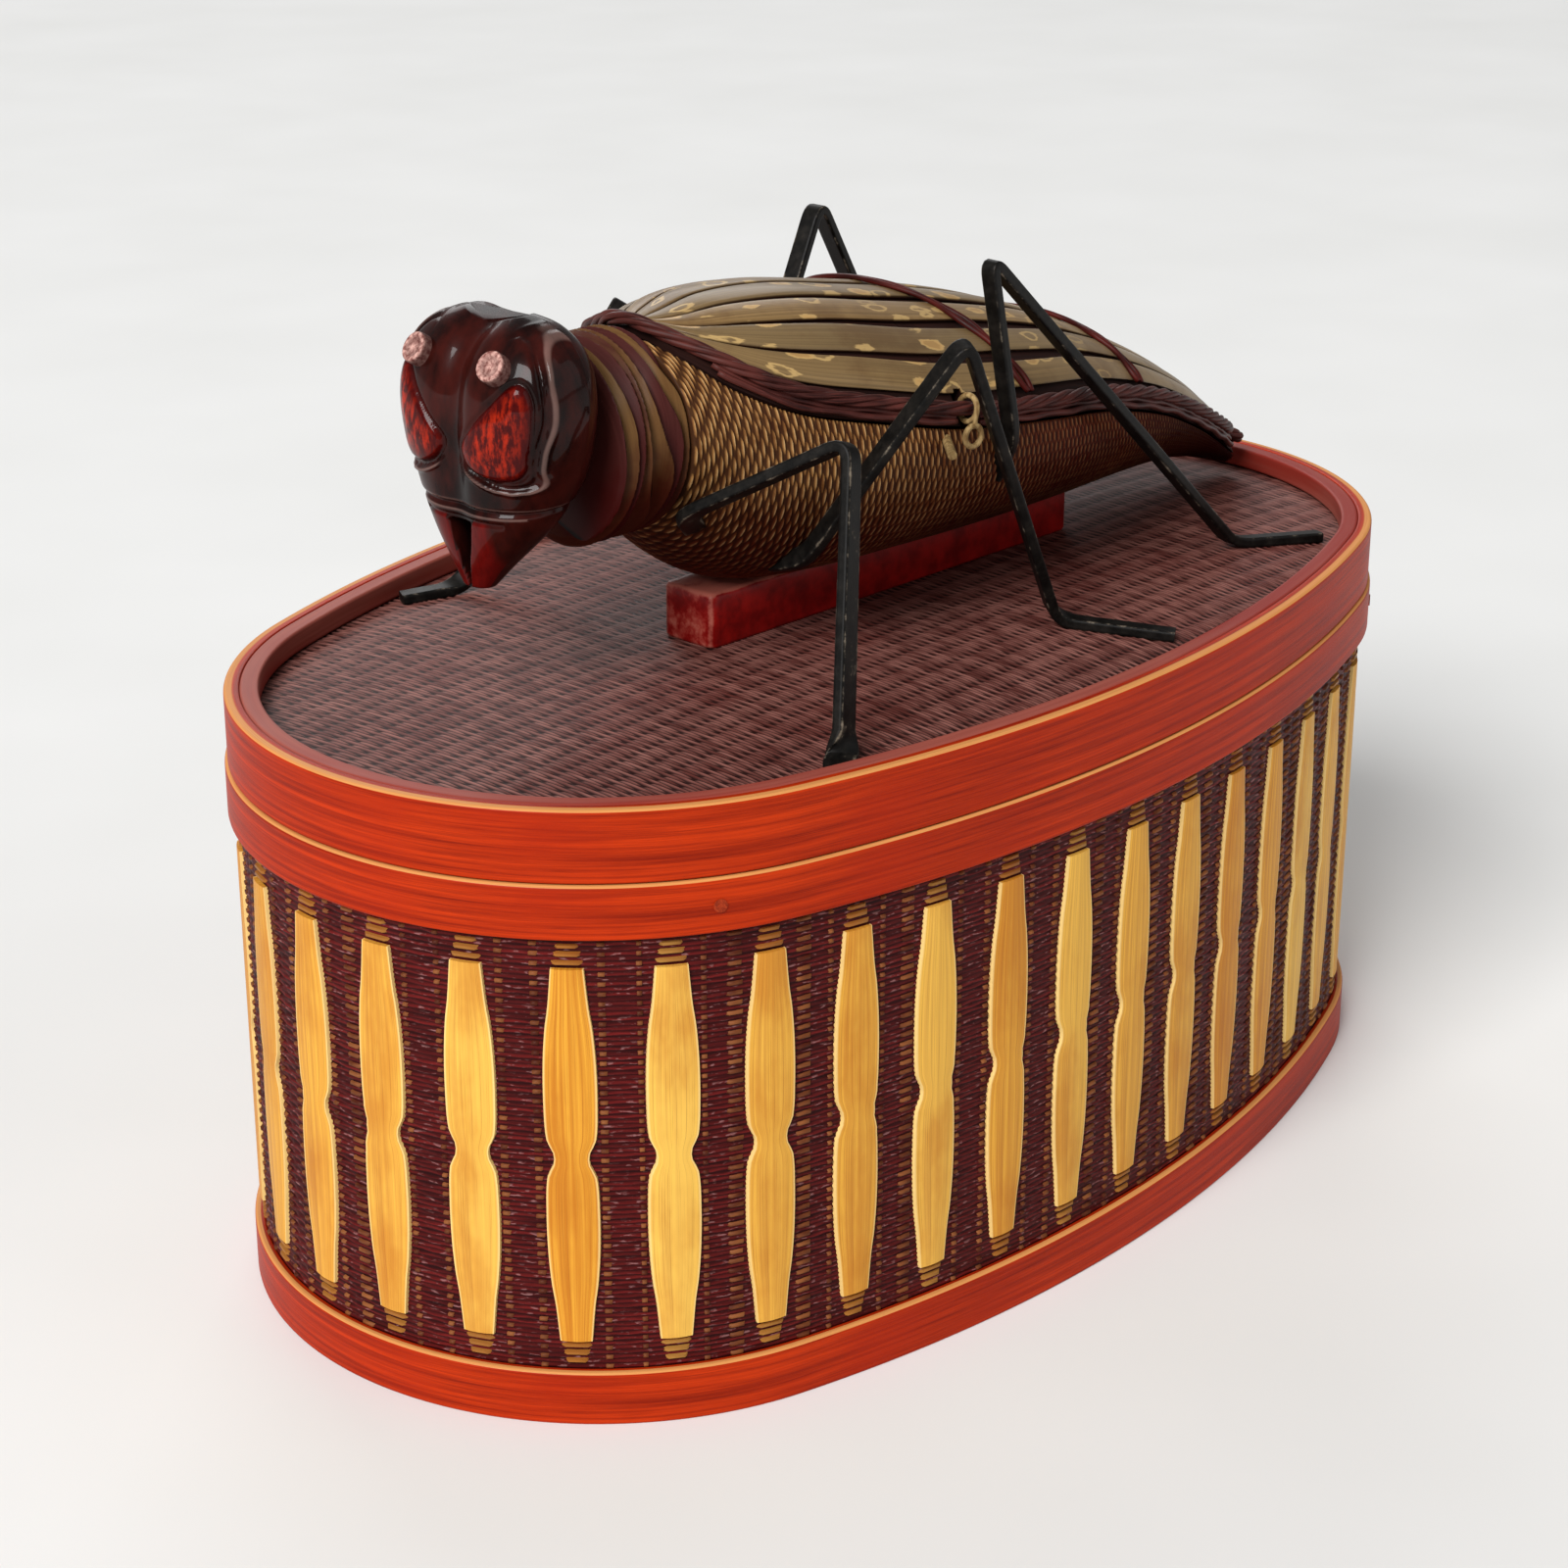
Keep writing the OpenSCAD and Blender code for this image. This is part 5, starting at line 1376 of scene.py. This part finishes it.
# %% Lashings
LASHINGS = ((0.36, 0.39), (0.63, 0.62))  # shares of the length at the back's middle and at the ends
LASH_R, LASH_APART, LASH_WAVE, LASH_TURNS = 0.52, 0.55, 0.5, 5
lash_up = STRIP_E + STRIP_T + 0.3 + 0.25
t = np.linspace(0, 1, 81)
wave = LASH_WAVE / BODY_L * np.sin(2 * math.pi * LASH_TURNS * t)
lash = []
for middle, low in LASHINGS:
    at = middle + (low - middle) * np.abs(2 * t - 1)
    start = seam_angle(at, STRIP_UP)
    a = start + (math.pi - 2 * start) * t
    for sign in (-1, 1):
        lash.append(cord(skin(at + LASH_APART / BODY_L * sign + sign * wave, a, lash_up), LASH_R))
piece("red_lashings", lash, RED_CANE, "wing_cover", ["wing_lashings"])

# %% [markdown]
# ## Small solids that stay
# The pegs, ties and the catch are plain round pieces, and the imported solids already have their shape. They
# only need a finish: pale cane for what ties, and red-brown wood for the pegs.

# %% Finishes of the small solids
def pale_cane():
    """Two tones of bare cane."""
    f = Finish("pale cane")
    fibre = f.noise(f.place(1.5, 1.5, 0.5))
    colour = f.mix(fibre.above(0.5, 0.2), rgb(116, 88, 52), rgb(176, 148, 100))
    return f.done(colour, 0.45 + 0.2 * fibre, fibre, 0.3, 0.1)


def peg_wood():
    """Two red browns near the lacquer's."""
    f = Finish("peg wood")
    fibre = f.noise(f.place(2.0, 2.0, 2.0), 4.0, 0.65)
    colour = f.mix(fibre.above(0.5, 0.2), rgb(116, 32, 12), rgb(170, 58, 24))
    return f.done(colour, 0.5 + 0.2 * fibre, fibre, 0.3, 0.1)


def dress(nodes, finish):
    """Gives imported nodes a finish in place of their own."""
    for node in nodes:
        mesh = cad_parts[node].data
        mesh.materials.clear()
        mesh.materials.append(finish)
        print("dressed", node)


dress(("hinge_ties", "catch_peg", "catch_loop"), pale_cane())
dress(("rim_pegs", "pedestal_pegs"), peg_wood())

# %% [markdown]
# ## Floor, light and camera
# A plain pale floor and three wide lamps, a strong one from the upper left, a weak one from the right and one
# from behind, give a soft studio light. The camera stands where a pinhole fitted to the hoops puts it.

# %% Floor
def pale_floor():
    """Faintly mottled off-white."""
    f = Finish("pale floor", roughness=0.9, specular=0.1)
    mottle = f.noise(f.place(0.01, 0.01, 0.01), 2.0)
    f.feed(f.shader, {"Base Color": f.mix(mottle, rgb(226, 226, 224), rgb(236, 236, 235))})
    return f.material


FLOOR = 20000.0
ends = np.linspace(-FLOOR, FLOOR, 5)
floor_mesh = mesh_of("floor", [patch(points_at(ends[:, None], ends, 0.0), turn=True)])
floor_mesh.materials.append(pale_floor())
floor = placed("floor", floor_mesh)

# %% Camera and lamps
CAMERA_AT = (-0.4396, -0.3572, 0.2936)
LOOK_DOWN, LOOK_ROUND = 21.81, -49.88
LENS, SENSOR, CLIP_START = 75.55, 36.0, 0.01
LAMPS = (("key", (-6.3, -1.35, 5.1), 0.08, 3.9, 783.0), ("fill", (3.0, -6.0, 2.9), 0.08, 5.4, 67.5),
         ("back", (5.1, 6.0, 4.3), 0.12, 5.4, 234.0))  # name, place, height aimed at, size, watts
SKY = 0.27


def lamp(name, at, aim, size, watts):
    """A square soft lamp that faces a point above the origin."""
    light = bpy.data.lights.new(name, "AREA")
    light.shape, light.size, light.energy = "SQUARE", size, watts
    obj = placed(name, light)
    obj.location = at
    obj.rotation_euler = (math.atan2(math.hypot(at[0], at[1]), at[2] - aim), 0, math.atan2(at[0], -at[1]))


camera = bpy.data.cameras.new("camera")
camera.lens, camera.sensor_width, camera.clip_start = LENS, SENSOR, CLIP_START
camera_object = placed("camera", camera)
camera_object.location = CAMERA_AT
camera_object.rotation_euler = (math.radians(90 - LOOK_DOWN), 0, math.radians(LOOK_ROUND))
bpy.context.scene.camera = camera_object
for row in LAMPS:
    lamp(*row)
world = bpy.data.worlds.new("studio")
world.use_nodes = True
backdrop = next(n for n in world.node_tree.nodes if n.type == "BACKGROUND")
backdrop.inputs["Color"].default_value = (1.0, 1.0, 1.0, 1.0)
backdrop.inputs["Strength"].default_value = SKY
bpy.context.scene.world = world
bpy.context.scene.view_settings.view_transform = "Standard"
print("camera at", CAMERA_AT, "and", len(LAMPS), "lamps")
